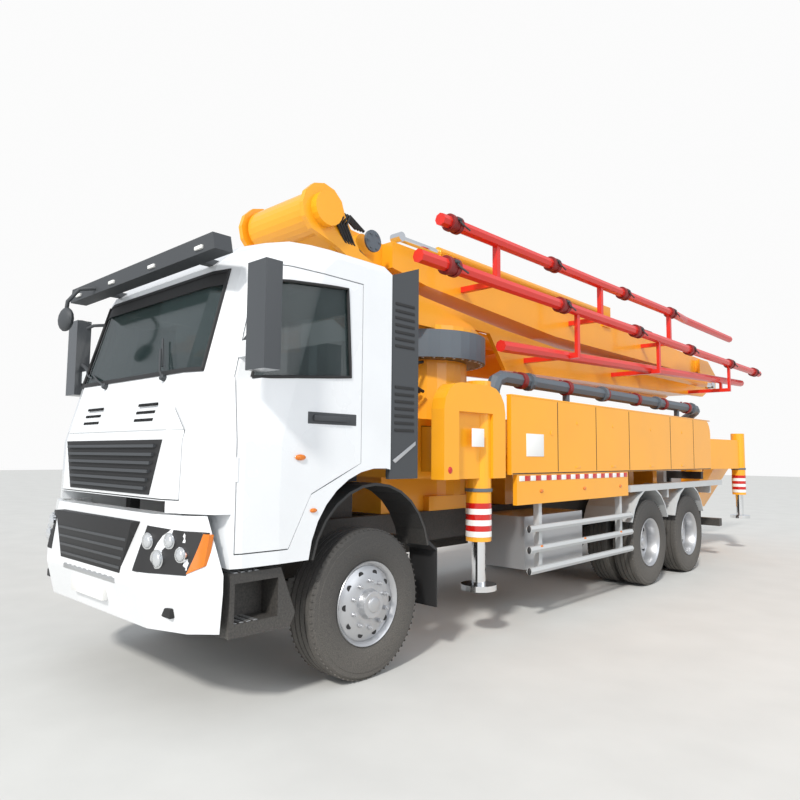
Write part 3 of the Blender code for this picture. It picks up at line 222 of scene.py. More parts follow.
@dataclass
class Shape:
    """One bmesh that collects the forms of a piece, in the truck's frame."""

    bm: bmesh.types.BMesh = field(default_factory=bmesh.new)

    def _bevel(self, faces: list, width: float, segments: int = 2) -> None:
        """Round the sharp edges of new faces.

        Args:
            faces: Faces just added.
            width: Bevel width in metres.
            segments: Bevel segments.
        """
        edges = list({e for f in faces for e in f.edges if len(e.link_faces) == 2
                      and e.calc_face_angle(0.0) > math.radians(30)})
        if width > 0 and edges:
            bmesh.ops.bevel(self.bm, geom=edges, offset=width, offset_type="OFFSET", affect="EDGES", segments=segments,
                            profile=0.5, material=-1, clamp_overlap=True)

    def box(self, x: tuple, y: tuple, z: tuple, bevel: float = 0.004) -> "Shape":
        """Add a bevelled box between (low, high) pairs.

        Args:
            x: Range along X.
            y: Range along Y, from the front axle.
            z: Range along Z.
            bevel: Edge radius.

        Returns:
            This shape.
        """
        (x0, x1), (y0, y1), (z0, z1) = sorted(x), sorted(y), sorted(z)
        mid = Vector(((x0 + x1) / 2, (y0 + y1) / 2 + DATUM_Y, (z0 + z1) / 2))
        size = Matrix.Diagonal((x1 - x0, y1 - y0, z1 - z0, 1.0))
        made = bmesh.ops.create_cube(self.bm, size=1.0, matrix=Matrix.Translation(mid) @ size)
        self._bevel(list({f for v in made["verts"] for f in v.link_faces}), min(bevel, 0.45 * min(x1 - x0, y1 - y0, z1 - z0)))
        return self

    def rod(self, a: tuple, b: tuple, r: float, r2: float = None, sides: int = 24, bevel: float = 0.003) -> "Shape":
        """Add a cylinder or cone from a to b.

        Args:
            a: Start point.
            b: End point.
            r: Radius at a.
            r2: Radius at b, r when left out.
            sides: Number of sides.
            bevel: Rim radius.

        Returns:
            This shape.
        """
        start, end = Vector(a), Vector(b)
        turn = Vector((0, 0, 1)).rotation_difference(end - start).to_matrix().to_4x4()
        move = Matrix.Translation((start + end) / 2 + Vector((0, DATUM_Y, 0)))
        made = bmesh.ops.create_cone(self.bm, cap_ends=True, segments=sides, radius1=r, radius2=r if r2 is None else r2,
                                     depth=(end - start).length, matrix=move @ turn)
        self._bevel(list({f for v in made["verts"] for f in v.link_faces}), bevel, 1)
        return self

    def ball(self, at: tuple, size: tuple, detail: int = 16) -> "Shape":
        """Add an ellipsoid.

        Args:
            at: Centre.
            size: Half sizes along X, Y and Z.
            detail: Number of segments.

        Returns:
            This shape.
        """
        move = Matrix.Translation(Vector(at) + Vector((0, DATUM_Y, 0)))
        bmesh.ops.create_uvsphere(self.bm, u_segments=detail, v_segments=detail // 2, radius=1.0,
                                  matrix=move @ Matrix.Diagonal((*size, 1.0)))
        return self

    def lathe(self, profile: list, centre: tuple, steps: int = 48, flip: bool = False) -> "Shape":
        """Turn a closed (x, radius) profile about the X axis through a point.

        Args:
            profile: Points of the closed outline.
            centre: Point on the axis.
            steps: Steps in the full turn.
            flip: Mirror along X, for the right side.

        Returns:
            This shape.
        """
        k = -1 if flip else 1
        c = Vector(centre) + Vector((0, DATUM_Y, 0))
        verts = [self.bm.verts.new((c.x + k * x, c.y, c.z + r)) for x, r in profile]
        edges = [self.bm.edges.new((verts[i], verts[(i + 1) % len(verts)])) for i in range(len(verts))]
        bmesh.ops.spin(self.bm, geom=verts + edges, cent=c, axis=(1, 0, 0), angle=math.tau, steps=steps, use_merge=True)
        return self

    def tube(self, path: list, r: float, sides: int = 12) -> "Shape":
        """Sweep a circle along a path, with closed ends.

        Args:
            path: Points, from the front axle.
            r: Radius.
            sides: Sides of the circle.

        Returns:
            This shape.
        """
        pts = [Vector(p) + Vector((0, DATUM_Y, 0)) for p in path]
        rings, up = [], None
        for i, p in enumerate(pts):
            way = (pts[min(i + 1, len(pts) - 1)] - pts[max(i - 1, 0)]).normalized()
            ref = up if up is not None else (Vector((0, 0, 1)) if abs(way.z) < 0.9 else Vector((1, 0, 0)))
            u = (ref - way * ref.dot(way)).normalized()
            up, v = u, way.cross(u)
            rings.append([self.bm.verts.new(p + (u * math.cos(t) + v * math.sin(t)) * r)
                          for t in (math.tau * k / sides for k in range(sides))])
        for a, b in zip(rings, rings[1:]):
            for k in range(sides):
                self.bm.faces.new((a[k], a[(k + 1) % sides], b[(k + 1) % sides], b[k]))
        self.bm.faces.new(rings[0][::-1])
        self.bm.faces.new(rings[-1])
        return self

    def slab(self, outline: list, axis: str, low: float, high: float, bevel: float = 0.003) -> "Shape":
        """Extrude a flat outline along an axis: (y, z) along X, (x, z) along Y.

        Args:
            outline: Corner points.
            axis: "X" or "Y".
            low: One end.
            high: Other end.
            bevel: Edge radius.

        Returns:
            This shape.
        """
        low, high = sorted((low, high))

        def point(a, b, c):
            return (c, a + DATUM_Y, b) if axis == "X" else (a, c + DATUM_Y, b)

        ends = [[self.bm.verts.new(point(a, b, c)) for a, b in outline] for c in (low, high)]
        n = len(outline)
        faces = [self.bm.faces.new(ends[0]), self.bm.faces.new(ends[1][::-1])]
        faces += [self.bm.faces.new((ends[0][i], ends[1][i], ends[1][(i + 1) % n], ends[0][(i + 1) % n])) for i in range(n)]
        bmesh.ops.recalc_face_normals(self.bm, faces=faces)
        self._bevel(faces, bevel)
        return self

    def piece(self, name: str, body: str, finish: Finish, replaces: tuple = ()) -> bpy.types.Object:
        """Turn the shape into a named piece that rides on a body.

        Args:
            name: Piece name.
            body: Body it rides on.
            finish: Its finish.
            replaces: CAD nodes it stands for.

        Returns:
            The new object.
        """
        bmesh.ops.recalc_face_normals(self.bm, faces=self.bm.faces)
        mesh = bpy.data.meshes.new(name)
        self.bm.to_mesh(mesh)
        self.bm.free()
        for poly in mesh.polygons:
            poly.use_smooth = True
        mesh.set_sharp_from_angle(angle=math.radians(32))
        mesh.materials.append(finish.build())
        obj = bpy.data.objects.new(name, mesh)
        bpy.context.scene.collection.objects.link(obj)
        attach(obj, body)
        if replaces:
            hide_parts(*replaces)
        LOG.info("%s on %s, %d faces", name, body, len(mesh.polygons))
        return obj


def arc_points(cy: float, cz: float, r: float, start: float, stop: float, count: int) -> list:
    """Points on an arc in the (y, z) plane.

    Args:
        cy: Centre y.
        cz: Centre z.
        r: Radius.
        start: First angle in degrees.
        stop: Last angle in degrees.
        count: Number of steps.

    Returns:
        The list of (y, z) points.
    """
    return [(cy + r * math.cos(math.radians(start + (stop - start) * i / count)),
             cz + r * math.sin(math.radians(start + (stop - start) * i / count))) for i in range(count + 1)]


@dataclass
class WheelSet:
    """One wheel or twin pair with its rim, nuts and tread."""

    node: str
    body: str
    y: float
    side: Side
    outer: float
    twin: bool = False
    tyre_r: float = 0.538
    width: float = 0.296

    def tyre(self, shape: Shape, face: float) -> None:
        """Add one tyre with shoulder, bead and circumferential grooves.

        Args:
            shape: Shape to add to.
            face: Distance of its outer side from the truck's centre line.
        """
        r, w = self.tyre_r, self.width
        groove, rib = 0.012, w / 5.6
        profile = [(face - 0.030, 0.300), (face - 0.006, 0.335), (face, 0.42), (face - 0.006, 0.478), (face - 0.010, 0.482),
                   (face - 0.014, 0.512), (face - 0.034, r - 0.006)]
        x = face - 0.040
        for _ in range(4):
            profile += [(x, r), (x - rib + 0.012, r), (x - rib + 0.010, r - groove), (x - rib + 0.002, r - groove)]
            x -= rib
        inner = face - w
        profile += [(x, r), (inner + 0.034, r - 0.006), (inner + 0.014, 0.512), (inner, 0.42), (inner + 0.030, 0.300),
                    (face - w / 2, 0.285)]
        shape.lathe(profile, (0.0, self.y, 0.54), 64, self.side is Side.RIGHT)
        for k in range(72):
            t = math.tau * k / 72
            for end in (face - 0.030, inner + 0.030):
                p = Vector((self.side.value * end, self.y + math.sin(t) * (r - 0.010), 0.54 + math.cos(t) * (r - 0.010)))
                q = p + Vector((0, math.sin(t) * 0.008, math.cos(t) * 0.008))
                shape.rod(tuple(p), tuple(q), 0.011, 0.009, 4, 0.0)

    def rim(self, shape: Shape, face: float, deep: bool) -> None:
        """Add a rim with its disc, hub and nuts.

        Args:
            shape: Shape to add to.
            face: Outer side of the tyre.
            deep: True for the dished rear wheel.
        """
        disc = face - (0.165 if deep else 0.045)
        flange = [(face - 0.018, 0.304), (face - 0.012, 0.300), (face - 0.020, 0.286), (face - 0.05, 0.268),
                  (disc - 0.004, 0.262), (disc - 0.018, 0.262), (face - self.width + 0.03, 0.282), (face - self.width + 0.02, 0.304)]
        shape.lathe(flange, (0.0, self.y, 0.54), 64, self.side is Side.RIGHT)
        bulge = -0.030 if deep else 0.035
        dish = [(disc, 0.266), (disc + bulge * 0.4, 0.235), (disc + bulge, 0.19), (disc + bulge, 0.10), (disc + bulge - 0.014, 0.10),
                (disc + bulge - 0.014, 0.19), (disc - 0.014, 0.240), (disc - 0.014, 0.266)]
        shape.lathe(dish, (0.0, self.y, 0.54), 64, self.side is Side.RIGHT)
        k = self.side.value
        hub_len = 0.085 if deep else 0.050
        shape.rod((k * (disc + bulge - 0.02), self.y, 0.54), (k * (disc + bulge + hub_len), self.y, 0.54), 0.115, 0.095, 32)
        shape.rod((k * (disc + bulge + hub_len - 0.002), self.y, 0.54), (k * (disc + bulge + hub_len + 0.012), self.y, 0.54), 0.06, 0.05, 24)
        for i in range(10):
            t = math.tau * (i + 0.5) / 10
            at = (self.y + math.cos(t) * 0.1675, 0.54 + math.sin(t) * 0.1675)
            shape.rod((k * (disc + bulge), *at), (k * (disc + bulge + 0.028), *at), 0.0165, sides=6, bevel=0.002)
            shape.rod((k * (disc + bulge + 0.026), *at), (k * (disc + bulge + 0.040), *at), 0.010, sides=12, bevel=0.002)

    def hand_holes(self) -> None:
        """Add near-black shallow cups on the disc where the hand holes are: painted shade in place of the openings."""
        shape, k = Shape(), self.side.value
        disc = self.outer - (0.165 if self.twin else 0.045)
        for i in range(10):
            t = math.tau * i / 10
            at = (self.y + math.cos(t) * 0.222, 0.54 + math.sin(t) * 0.222)
            lift = -0.016 if self.twin else 0.016
            # near-black cups stand for the shade seen through the hand holes: painted shade, not a real surface
            shape.rod((k * (disc + lift - 0.006), *at), (k * (disc + lift + 0.0035), *at), 0.022, sides=20, bevel=0.0)
        shape.piece(self.node + "_hand_holes", self.body, HOSE)

    def build(self) -> None:
        """Make the rubber and metal pieces of this wheel."""
        rubber, metal = Shape(), Shape()
        self.tyre(rubber, self.outer - 0.002)
        self.rim(metal, self.outer - 0.002, self.twin)
        if self.twin:
            self.tyre(rubber, self.outer - 0.347)
            self.rim(metal, self.outer - 0.347, True)
        rubber.piece(self.node + "_tyres", self.body, TYRE, (self.node,))
        metal.piece(self.node + "_rims", self.body, SILVER)
        self.hand_holes()


def build_wheels() -> None:
    """Make the six wheels."""
    for side in Side:
        tag = side.name.lower()
        WheelSet(f"front_{tag}_wheel", f"front_{tag}_road_wheel", 0.0, side, 1.185).build()
        for row, y in (("middle", 5.0), ("rear", 6.4)):
            WheelSet(f"{row}_{tag}_twin_wheels", f"{row}_{tag}_twins", y, side, 1.243, True).build()


def nose(z: float) -> float:
    """Front of the cab at a height.

    Args:
        z: Height.

    Returns:
        The y of its centre line.
    """
    table = ((0.93, -1.47), (1.30, -1.475), (1.70, -1.465), (2.14, -1.35), (2.90, -1.13), (3.0, -1.02))
    for (z0, y0), (z1, y1) in zip(table, table[1:]):
        if z <= z1:
            return y0 + (y1 - y0) * (z - z0) / (z1 - z0)
    return table[-1][1]


def skin_y(x: float, z: float) -> float:
    """Front skin of the cab at a point across and up.

    Args:
        x: Distance from the centre line.
        z: Height.

    Returns:
        The skin's y.
    """
    x, n = abs(x), nose(z)
    line = ((0.0, 0.035), (0.78, 0.035), (1.00, 0.10), (1.165, 0.19), (1.22, 0.34), (1.24, 0.60))
    for (x0, a), (x1, b) in zip(line, line[1:]):
        if x <= x1:
            return n + a + (b - a) * (x - x0) / (x1 - x0)
    return n + 0.60


def band(shape: Shape, x0: float, x1: float, z0: float, z1: float, proud: float, steps: int = 8, slant: float = 0.0) -> Shape:
    """Add a strip that follows the cab's front skin.

    Args:
        shape: Shape to add to.
        x0: Left end.
        x1: Right end.
        z0: Lower edge.
        z1: Upper edge.
        proud: How far it stands out.
        steps: Columns along X.
        slant: How much the lower corners come in.

    Returns:
        The shape.
    """
    rows = []
    for z, out, ease in ((z0, -0.004, slant), (z0, proud, slant), (z1, proud, 0.0), (z1, -0.004, 0.0)):
        half = (x1 - x0) / 2 - ease
        mid = (x0 + x1) / 2
        rows.append([shape.bm.verts.new((mid - half + 2 * half * i / steps,
                                         skin_y(mid - half + 2 * half * i / steps, z) - out + DATUM_Y, z)) for i in range(steps + 1)])
    n = len(rows)
    for a in range(n):
        b = (a + 1) % n
        for i in range(steps):
            shape.bm.faces.new((rows[a][i], rows[a][i + 1], rows[b][i + 1], rows[b][i]))
    shape.bm.faces.new([rows[a][0] for a in range(n)][::-1])
    shape.bm.faces.new([rows[a][-1] for a in range(n)])
    return shape


HEAD_LAMP_CASE = ((0.665, -1.545, 0.900), (1.075, -1.418, 0.905), (1.140, -1.335, 1.150), (0.730, -1.492, 1.175))
INDICATOR_CASE = ((1.080, -1.416, 0.915), (1.150, -1.342, 0.960), (1.160, -1.318, 1.140), (1.128, -1.350, 1.145))
HEAD_LAMPS = ((0.765, 1.085, 0.052), (0.860, 0.985, 0.058), (0.925, 1.095, 0.050), (1.020, 1.020, 0.048))


def bumper_y(x: float, z: float) -> float:
    """Front surface of the bumper at a point across and up.

    Args:
        x: Distance from the centre line.
        z: Height.

    Returns:
        The surface's y.
    """
    rise = max(0.0, (z - 0.905) / 0.34)
    edge, corner = 1.08 - 0.08 * rise, -1.41 + 0.01 * rise
    front = -1.54 + 0.07 * rise
    x = abs(x)
    if x <= 0.75:
        return front
    if x <= edge:
        return front + (corner - front) * (x - 0.75) / (edge - 0.75)
    return corner + (x - edge) * (-1.26 - corner) / (1.23 - edge)


def patch(shape: Shape, corners: list, proud: float) -> None:
    """Add a shallow four-sided cover over the bumper's corner.

    Args:
        shape: Shape to add to.
        corners: Its corners in order, on the surface.
        proud: How far it stands out.
    """
    steps, rows = 6, []
    for level in (0, 1):
        grid = []
        for a in range(steps + 1):
            u = a / steps
            line = []
            for b in range(steps + 1):
                v = b / steps
                low = Vector(corners[0]).lerp(Vector(corners[1]), u)
                high = Vector(corners[3]).lerp(Vector(corners[2]), u)
                p = low.lerp(high, v)
                y = bumper_y(p.x, p.z) + (0.02 if level else -proud)
                line.append(shape.bm.verts.new((p.x, y + DATUM_Y, p.z)))
            grid.append(line)
        rows.append(grid)
    for grid in rows:
        for a in range(steps):
            for b in range(steps):
                shape.bm.faces.new((grid[a][b], grid[a + 1][b], grid[a + 1][b + 1], grid[a][b + 1]))
    rim = [(a, 0) for a in range(steps)] + [(steps, b) for b in range(steps)]
    rim += [(a, steps) for a in range(steps, 0, -1)] + [(0, b) for b in range(steps, 0, -1)]
    for (a, b), (c, d) in zip(rim, rim[1:] + rim[:1]):
        shape.bm.faces.new((rows[0][a][b], rows[0][c][d], rows[1][c][d], rows[1][a][b]))


@dataclass
class CabFront:
    """Grilles, lamps, wipers, visor trim and mirrors of the cab."""

    body: str = "cab"

    def grille(self) -> None:
        """Upper grille with its slats on the flap."""
        frame, slats = Shape(), Shape()
        band(frame, -0.76, 0.76, 1.355, 1.705, 0.006, 12, 0.13)
        for i in range(6):
            z = 1.385 + i * 0.054
            ease = 0.13 * (1.705 - z) / 0.35
            band(slats, -0.71 + ease, 0.71 - ease, z, z + 0.020, 0.026, 12)
        frame.piece("grille_backing", "flap", HOSE)
        slats.piece("grille_slats", "flap", CHARCOAL)
        vents = Shape()
        for k in (1, -1):
            for x in (0.30, 0.0):
                for i in range(3):
                    z = 1.83 + i * 0.052
                    mid = k * (0.42 + x * 0.0)
                    band(vents, mid - 0.13, mid + 0.13, z, z + 0.018, 0.005, 4)
        vents.piece("flap_louvres", "flap", HOSE)
        # grey strip along the flap's crease line: painted shade of the crease on the white flap
        crease_shade = Shape()
        band(crease_shade, -0.915, 0.915, 1.765, 1.772, 0.0035, 12)
        crease_shade.piece("flap_crease", "flap", GREY)

    def screen(self) -> None:
        """Rubber surround, painted shadow of the visor along the top of the glass, and wipers of the windscreen."""
        rubber = Shape()
        band(rubber, -0.945, 0.945, 2.138, 2.168, 0.008, 12)
        band(rubber, -0.915, 0.915, 2.825, 2.848, 0.006, 12)
        for k in (1, -1):
            path = [(k * (0.935 - 0.03 * i / 6), skin_y(0.935 - 0.03 * i / 6, 2.15 + 0.69 * i / 6) - 0.003, 2.15 + 0.69 * i / 6)
                    for i in range(7)]
            rubber.tube(path, 0.013, 8)
        rubber.piece("windscreen_seal", self.body, HOSE)
        # near-black band just under the overhanging visor: painted shadow of the visor on the windscreen
        visor_shadow = Shape()
        band(visor_shadow, -0.90, 0.90, 2.735, 2.824, 0.001, 12)
        visor_shadow.piece("windscreen_top_band", self.body, HOSE)
        wipers = Shape()
        for x, tip in ((0.55, -0.18), (-0.35, -0.98)):
            root = (x, skin_y(x, 2.12) - 0.020, 2.12)
            end = (x + tip * 0.78, skin_y(x + tip * 0.78, 2.33) - 0.028, 2.33)
            wipers.tube([root, (x + tip * 0.1, skin_y(x, 2.16) - 0.042, 2.165), end], 0.008, 8)
            blade = [(x + tip * (0.30 + 0.12 * i), skin_y(x + tip * (0.30 + 0.12 * i), 2.20 + 0.035 * i) - 0.016, 2.20 + 0.035 * i)
                     for i in range(7)]
            wipers.tube(blade, 0.007, 6)
            wipers.rod((x, root[1] + 0.03, 2.11), (x, root[1] - 0.012, 2.125), 0.022)
        wipers.piece("wipers", self.body, CHARCOAL)

    def lamps(self) -> None:
        """Head lamp clusters, marker lamps and the bumper's details."""
        lens, bowl, amber, dark = Shape(), Shape(), Shape(), Shape()
        for k in (1, -1):
            case = [(k * x, y, z) for x, y, z in HEAD_LAMP_CASE]
            patch(dark, case, 0.006)
            patch(amber, [(k * x, y, z) for x, y, z in INDICATOR_CASE], 0.010)
            for x, z, r in HEAD_LAMPS:
                face = bumper_y(x, z)
                turn = 0.0 if x < 0.75 else 0.38
                bowl.rod((k * x, face + 0.03, z), (k * (x + 0.022 * turn), face - 0.014, z), r, sides=32)
                lens.ball((k * (x + 0.02 * turn), face - 0.012, z), (r * 0.84, 0.018, r * 0.84), 16)
            dark.box((k * 0.86, k * 0.98), (bumper_y(0.98, 0.68) - 0.006, -1.38), (0.645, 0.705), 0.008)
        dark.slab([(-0.486, 0.858), (0.486, 0.858), (0.62, 1.190), (-0.62, 1.190)], "Y", -1.5415, -1.44, 0.006)
        dark.piece("bumper_recesses", "chassis", HOSE)
        bowl.piece("head_lamp_bowls", "chassis", CHROME)
        lens.piece("head_lamp_lenses", "chassis", LAMP)
        amber.piece("front_indicators", "chassis", AMBER)
        bars = Shape()
        for i in range(4):
            z = 0.885 + i * 0.06
            half = 0.47 + 0.134 * (z - 0.858) / 0.332
            bars.box((-half, half), (-1.546, -1.538 + 0.05 * i / 4), (z, z + 0.018), 0.003)
        bars.piece("lower_grille_bars", "chassis", CHARCOAL)
        step = Shape().box((-0.42, 0.42), (-1.545, -1.500), (0.790, 0.822), 0.006)
        for i in range(10):
            step.box((-0.40 + i * 0.083, -0.36 + i * 0.083), (-1.544, -1.505), (0.820, 0.827), 0.001)
        step.piece("bumper_step_tread", "chassis", TREAD)
        marks = Shape()
        for x in (-0.95, -0.32, 0.32, 0.95):
            marks.box((x - 0.045, x + 0.045), (-1.345, -1.325), (2.905, 2.930), 0.005)
        marks.piece("visor_marker_lamps", self.body, REFLECT)
        plate = Shape().box((-0.26, 0.26), (-1.545, -1.500), (0.655, 0.765), 0.004)
        plate.piece("blank_number_plate", "chassis", REFLECT)

    def mirrors(self) -> None:
        """Door mirrors, the kerb mirror and door handles."""
        for side in Side:
            k, tag = side.value, side.name.lower()
            case = Shape()
            case.slab([(-1.19, 2.42), (-1.20, 2.76), (-1.17, 2.79), (-1.09, 2.78), (-1.08, 2.40), (-1.17, 2.39)], "X", k * 1.305, k * 1.485, 0.020)
            case.slab([(-1.19, 2.14), (-1.195, 2.37), (-1.08, 2.37), (-1.085, 2.16), (-1.16, 2.125)], "X", k * 1.305, k * 1.485, 0.020)
            case.tube([(k * 1.16, -1.135, 2.30), (k * 1.25, -1.135, 2.36), (k * 1.34, -1.14, 2.40)], 0.016)
            case.tube([(k * 1.15, -1.02, 2.74), (k * 1.25, -1.08, 2.74), (k * 1.36, -1.14, 2.70)], 0.014)
            case.piece(f"{tag}_mirror_cases", f"{tag}_door_leaf", CHARCOAL)
            glass = Shape().box((k * 1.32, k * 1.47), (-1.079, -1.074), (2.43, 2.75), 0.002)
            glass.box((k * 1.32, k * 1.47), (-1.079, -1.074), (2.165, 2.345), 0.002)
            glass.piece(f"{tag}_mirror_glasses", f"{tag}_door_leaf", CHROME)
            trim = Shape().box((k * 1.238, k * 1.262), (-0.62, -0.30), (1.845, 1.885), 0.008)
            trim.box((k * 1.236, k * 1.243), (-0.66, -0.22), (1.825, 1.905), 0.010)
            trim.piece(f"{tag}_door_handle", f"{tag}_door_leaf", CHARCOAL)
            seal = Shape()
            corners = [(-1.08, 2.10), (-0.93, 2.75), (-0.32, 2.80), (-0.28, 2.17)]
            loop = []
            for (y0, z0), (y1, z1) in zip(corners, corners[1:] + corners[:1]):
                loop += [(y0 + (y1 - y0) * t / 6, z0 + (z1 - z0) * t / 6) for t in range(6)]
            loop.append(loop[0])
            seal.tube([(k * (side_x(y, z) + 0.001), y, z) for y, z in loop], 0.011, 8)
            seal.piece(f"{tag}_window_seal", f"{tag}_door_leaf", HOSE)
            lamp = Shape().ball((k * 1.247, -0.72, 1.60), (0.012, 0.045, 0.020))
            lamp.piece(f"{tag}_side_indicator", f"{tag}_door_leaf", AMBER)
        kerb = Shape().tube([(-0.62, -1.30, 2.93), (-0.66, -1.44, 2.90), (-0.72, -1.50, 2.80), (-0.74, -1.50, 2.73)], 0.016)
        kerb.ball((-0.74, -1.50, 2.66), (0.115, 0.045, 0.095))
        kerb.piece("kerb_mirror", self.body, CHARCOAL)

    def build(self) -> None:
        """Make every piece of the cab."""
        self.grille()
        self.screen()
        self.lamps()
        self.mirrors()


def side_x(y: float, z: float) -> float:
    """Half width of the cab's side skin at a point.

    Args:
        y: Distance behind the front axle.
        z: Height.

    Returns:
        The skin's x.
    """
    n = nose(z)
    line = ((1.165, 0.19), (1.22, 0.34), (1.24, 0.60))
    for (x0, a), (x1, b) in zip(line, line[1:]):
        if y <= n + b:
            return x0 + (x1 - x0) * max(0.0, (y - n - a)) / (b - a)
    return 1.24


@dataclass
class Bodywork:
    """Panels, reflectors, guards, mudguards and the rear of the truck."""

    body: str = "chassis"

    def panels(self) -> None:
        """Panel seams, placard, lock and rubbing edges of the yellow deck body."""
        seams, trim, label = Shape(), Shape(), Shape()
        for side in Side:
            k = side.value
            for y in (2.62, 3.48, 4.36, 5.70, 6.60):
                seams.box((k * 1.246, k * 1.2525), (y, y + 0.010), (1.47, 2.18), 0.001)
            seams.box((k * 1.246, k * 1.2525), (1.78, 7.34), (1.452, 1.462), 0.001)
            trim.box((k * 1.190, k * 1.254), (1.765, 7.355), (2.188, 2.204), 0.006)
            label.box((k * 1.2495, k * 1.2545), (2.02, 2.34), (1.62, 1.84), 0.002)
            trim.rod((k * 1.248, 2.50, 1.86), (k * 1.256, 2.50, 1.86), 0.026)
            for y in (3.05, 3.92, 5.03, 6.15):
                trim.rod((k * 1.248, y, 1.98), (k * 1.2555, y, 1.98), 0.020, sides=16)
                trim.box((k * 1.248, k * 1.2545), (y - 0.055, y + 0.055), (1.50, 1.525), 0.002)
        seams.piece("panel_seams", self.body, HOSE)
        trim.piece("panel_trim", self.body, YELLOW)
        label.piece("blank_placards", self.body, REFLECT)

    def reflectors(self) -> None:
        """Red and white reflective squares along the skirts, side lamps and end caps."""
        reds, whites, ambers, caps = Shape(), Shape(), Shape(), Shape()
        for side in Side:
            k = side.value
            for i in range(24):
                y = 1.90 + i * 0.100
                (reds if i % 2 else whites).box((k * 1.2440, k * 1.2485), (y, y + 0.094), (1.385, 1.435), 0.001)
            for y in (2.30, 3.20, 4.10):
                ambers.ball((k * 1.247, y, 1.28), (0.010, 0.035, 0.018))
                ambers.ball((k * 1.244, y, 0.74), (0.008, 0.030, 0.016))
            for z in (0.52, 0.72, 0.92):
                for y in (2.10, 4.42):
                    caps.ball((k * 1.225, y, z), (0.020, 0.020, 0.034))
        reds.piece("skirt_reflectors_red", self.body, CRIMSON)
        whites.piece("skirt_reflectors_white", self.body, REFLECT)
        ambers.piece("side_marker_lamps", self.body, AMBER)
        caps.piece("side_guard_caps", self.body, HOSE)

    def rear(self) -> None:
        """Rear lamps, mudflaps and hopper rim bolts."""
        cases, lenses, whites, flaps, bolts = Shape(), Shape(), Shape(), Shape(), Shape()
        for side in Side:
            k = side.value
            cases.box((k * 0.83, k * 1.14), (8.110, 8.165), (0.525, 0.635), 0.010)
            for i, x in enumerate((0.88, 0.985, 1.09)):
                (lenses if i != 1 else whites).rod((k * x, 8.160, 0.58), (k * x, 8.176, 0.58), 0.042, sides=24)
            flaps.box((k * 0.66, k * 1.20), (6.973, 6.986), (0.42, 0.88), 0.003)
            flaps.slab([(0.612, 0.925), (0.632, 0.950), (0.752, 0.865), (0.752, 0.40), (0.738, 0.40), (0.738, 0.850)], "X",
                       k * 0.90, k * 1.195, 0.002)
            for i in range(9):
                bolts.rod((k * 0.80, 8.85 + i * 0.12, 1.47), (k * 0.812, 8.85 + i * 0.12, 1.47), 0.012, sides=6, bevel=0.001)
        cases.piece("tail_lamp_cases", self.body, CHARCOAL)
        lenses.piece("tail_lamps_red", self.body, CRIMSON)
        whites.piece("tail_lamps_amber", self.body, AMBER)
        flaps.piece("mudflaps", self.body, HOSE)
        bolts.piece("hopper_rim_bolts", self.body, SILVER)

    def fittings(self) -> None:
        """Ring bolts, pipe clamps, step treads and hoses."""
        bolts, clamps, straps, hoses, treads = Shape(), Shape(), Shape(), Shape(), Shape()
        for i in range(36):
            t = math.tau * i / 36
            bolts.rod((math.cos(t) * 0.625, 1.95 + math.sin(t) * 0.625, 2.59), (math.cos(t) * 0.625, 1.95 + math.sin(t) * 0.625, 2.616),
                      0.017, sides=6, bevel=0.001)
        for y in (2.35, 3.30, 4.25, 5.20, 6.15, 7.10):
            clamps.rod((0.98, y - 0.035, 2.40), (0.98, y + 0.035, 2.40), 0.088, sides=24)
            clamps.box((0.90, 0.925), (y - 0.02, y + 0.02), (2.44, 2.50), 0.004)
        for k in (1, -1):
            for i in range(4):
                treads.box((k * 0.945, k * 1.185), (-1.16 + i * 0.05, -1.13 + i * 0.05), (0.898, 0.904), 0.001)
                treads.box((k * 0.945, k * 1.185), (-1.16 + i * 0.05, -1.13 + i * 0.05), (0.598, 0.604), 0.001)
        for i in range(3):
            hoses.tube([(0.26 + i * 0.05, 1.53, 2.26), (0.28 + i * 0.05, 1.26, 2.34), (0.28 + i * 0.05, 1.26, 2.50),
                        (0.26 + i * 0.05, 1.52, 2.56)], 0.016)
        bolts.piece("slewing_ring_bolts", self.body, SILVER)
        clamps.piece("deck_pipe_clamps", self.body, MAROON)
        treads.piece("cab_step_treads", self.body, TREAD)
        hoses.piece("pedestal_hoses", self.body, HOSE)

    def cab_rear(self) -> None:
        """Louvres and trim on the side deflectors, and arch markers."""
        louvres, silver, ambers = Shape(), Shape(), Shape()
        for side in Side:
            k = side.value
            for base in (1.80, 2.45):
                for i in range(7):
                    louvres.box((k * 1.226, k * 1.236), (0.19, 0.41), (base + i * 0.055, base + i * 0.055 + 0.022), 0.003)
            silver.slab([(0.17, 1.58), (0.20, 1.56), (0.43, 1.70), (0.43, 1.73)], "X", k * 1.229, k * 1.235, 0.002)
            ambers.ball((k * 1.245, -0.60, 1.25), (0.010, 0.030, 0.015))
        louvres.piece("deflector_louvres", "cab", HOSE)
        silver.piece("deflector_trim", "cab", SILVER)
        ambers.piece("arch_markers", "cab", AMBER)

    def build(self) -> None:
        """Make every piece of the bodywork."""
        self.panels()
        self.reflectors()
        self.rear()
        self.fittings()
        self.cab_rear()


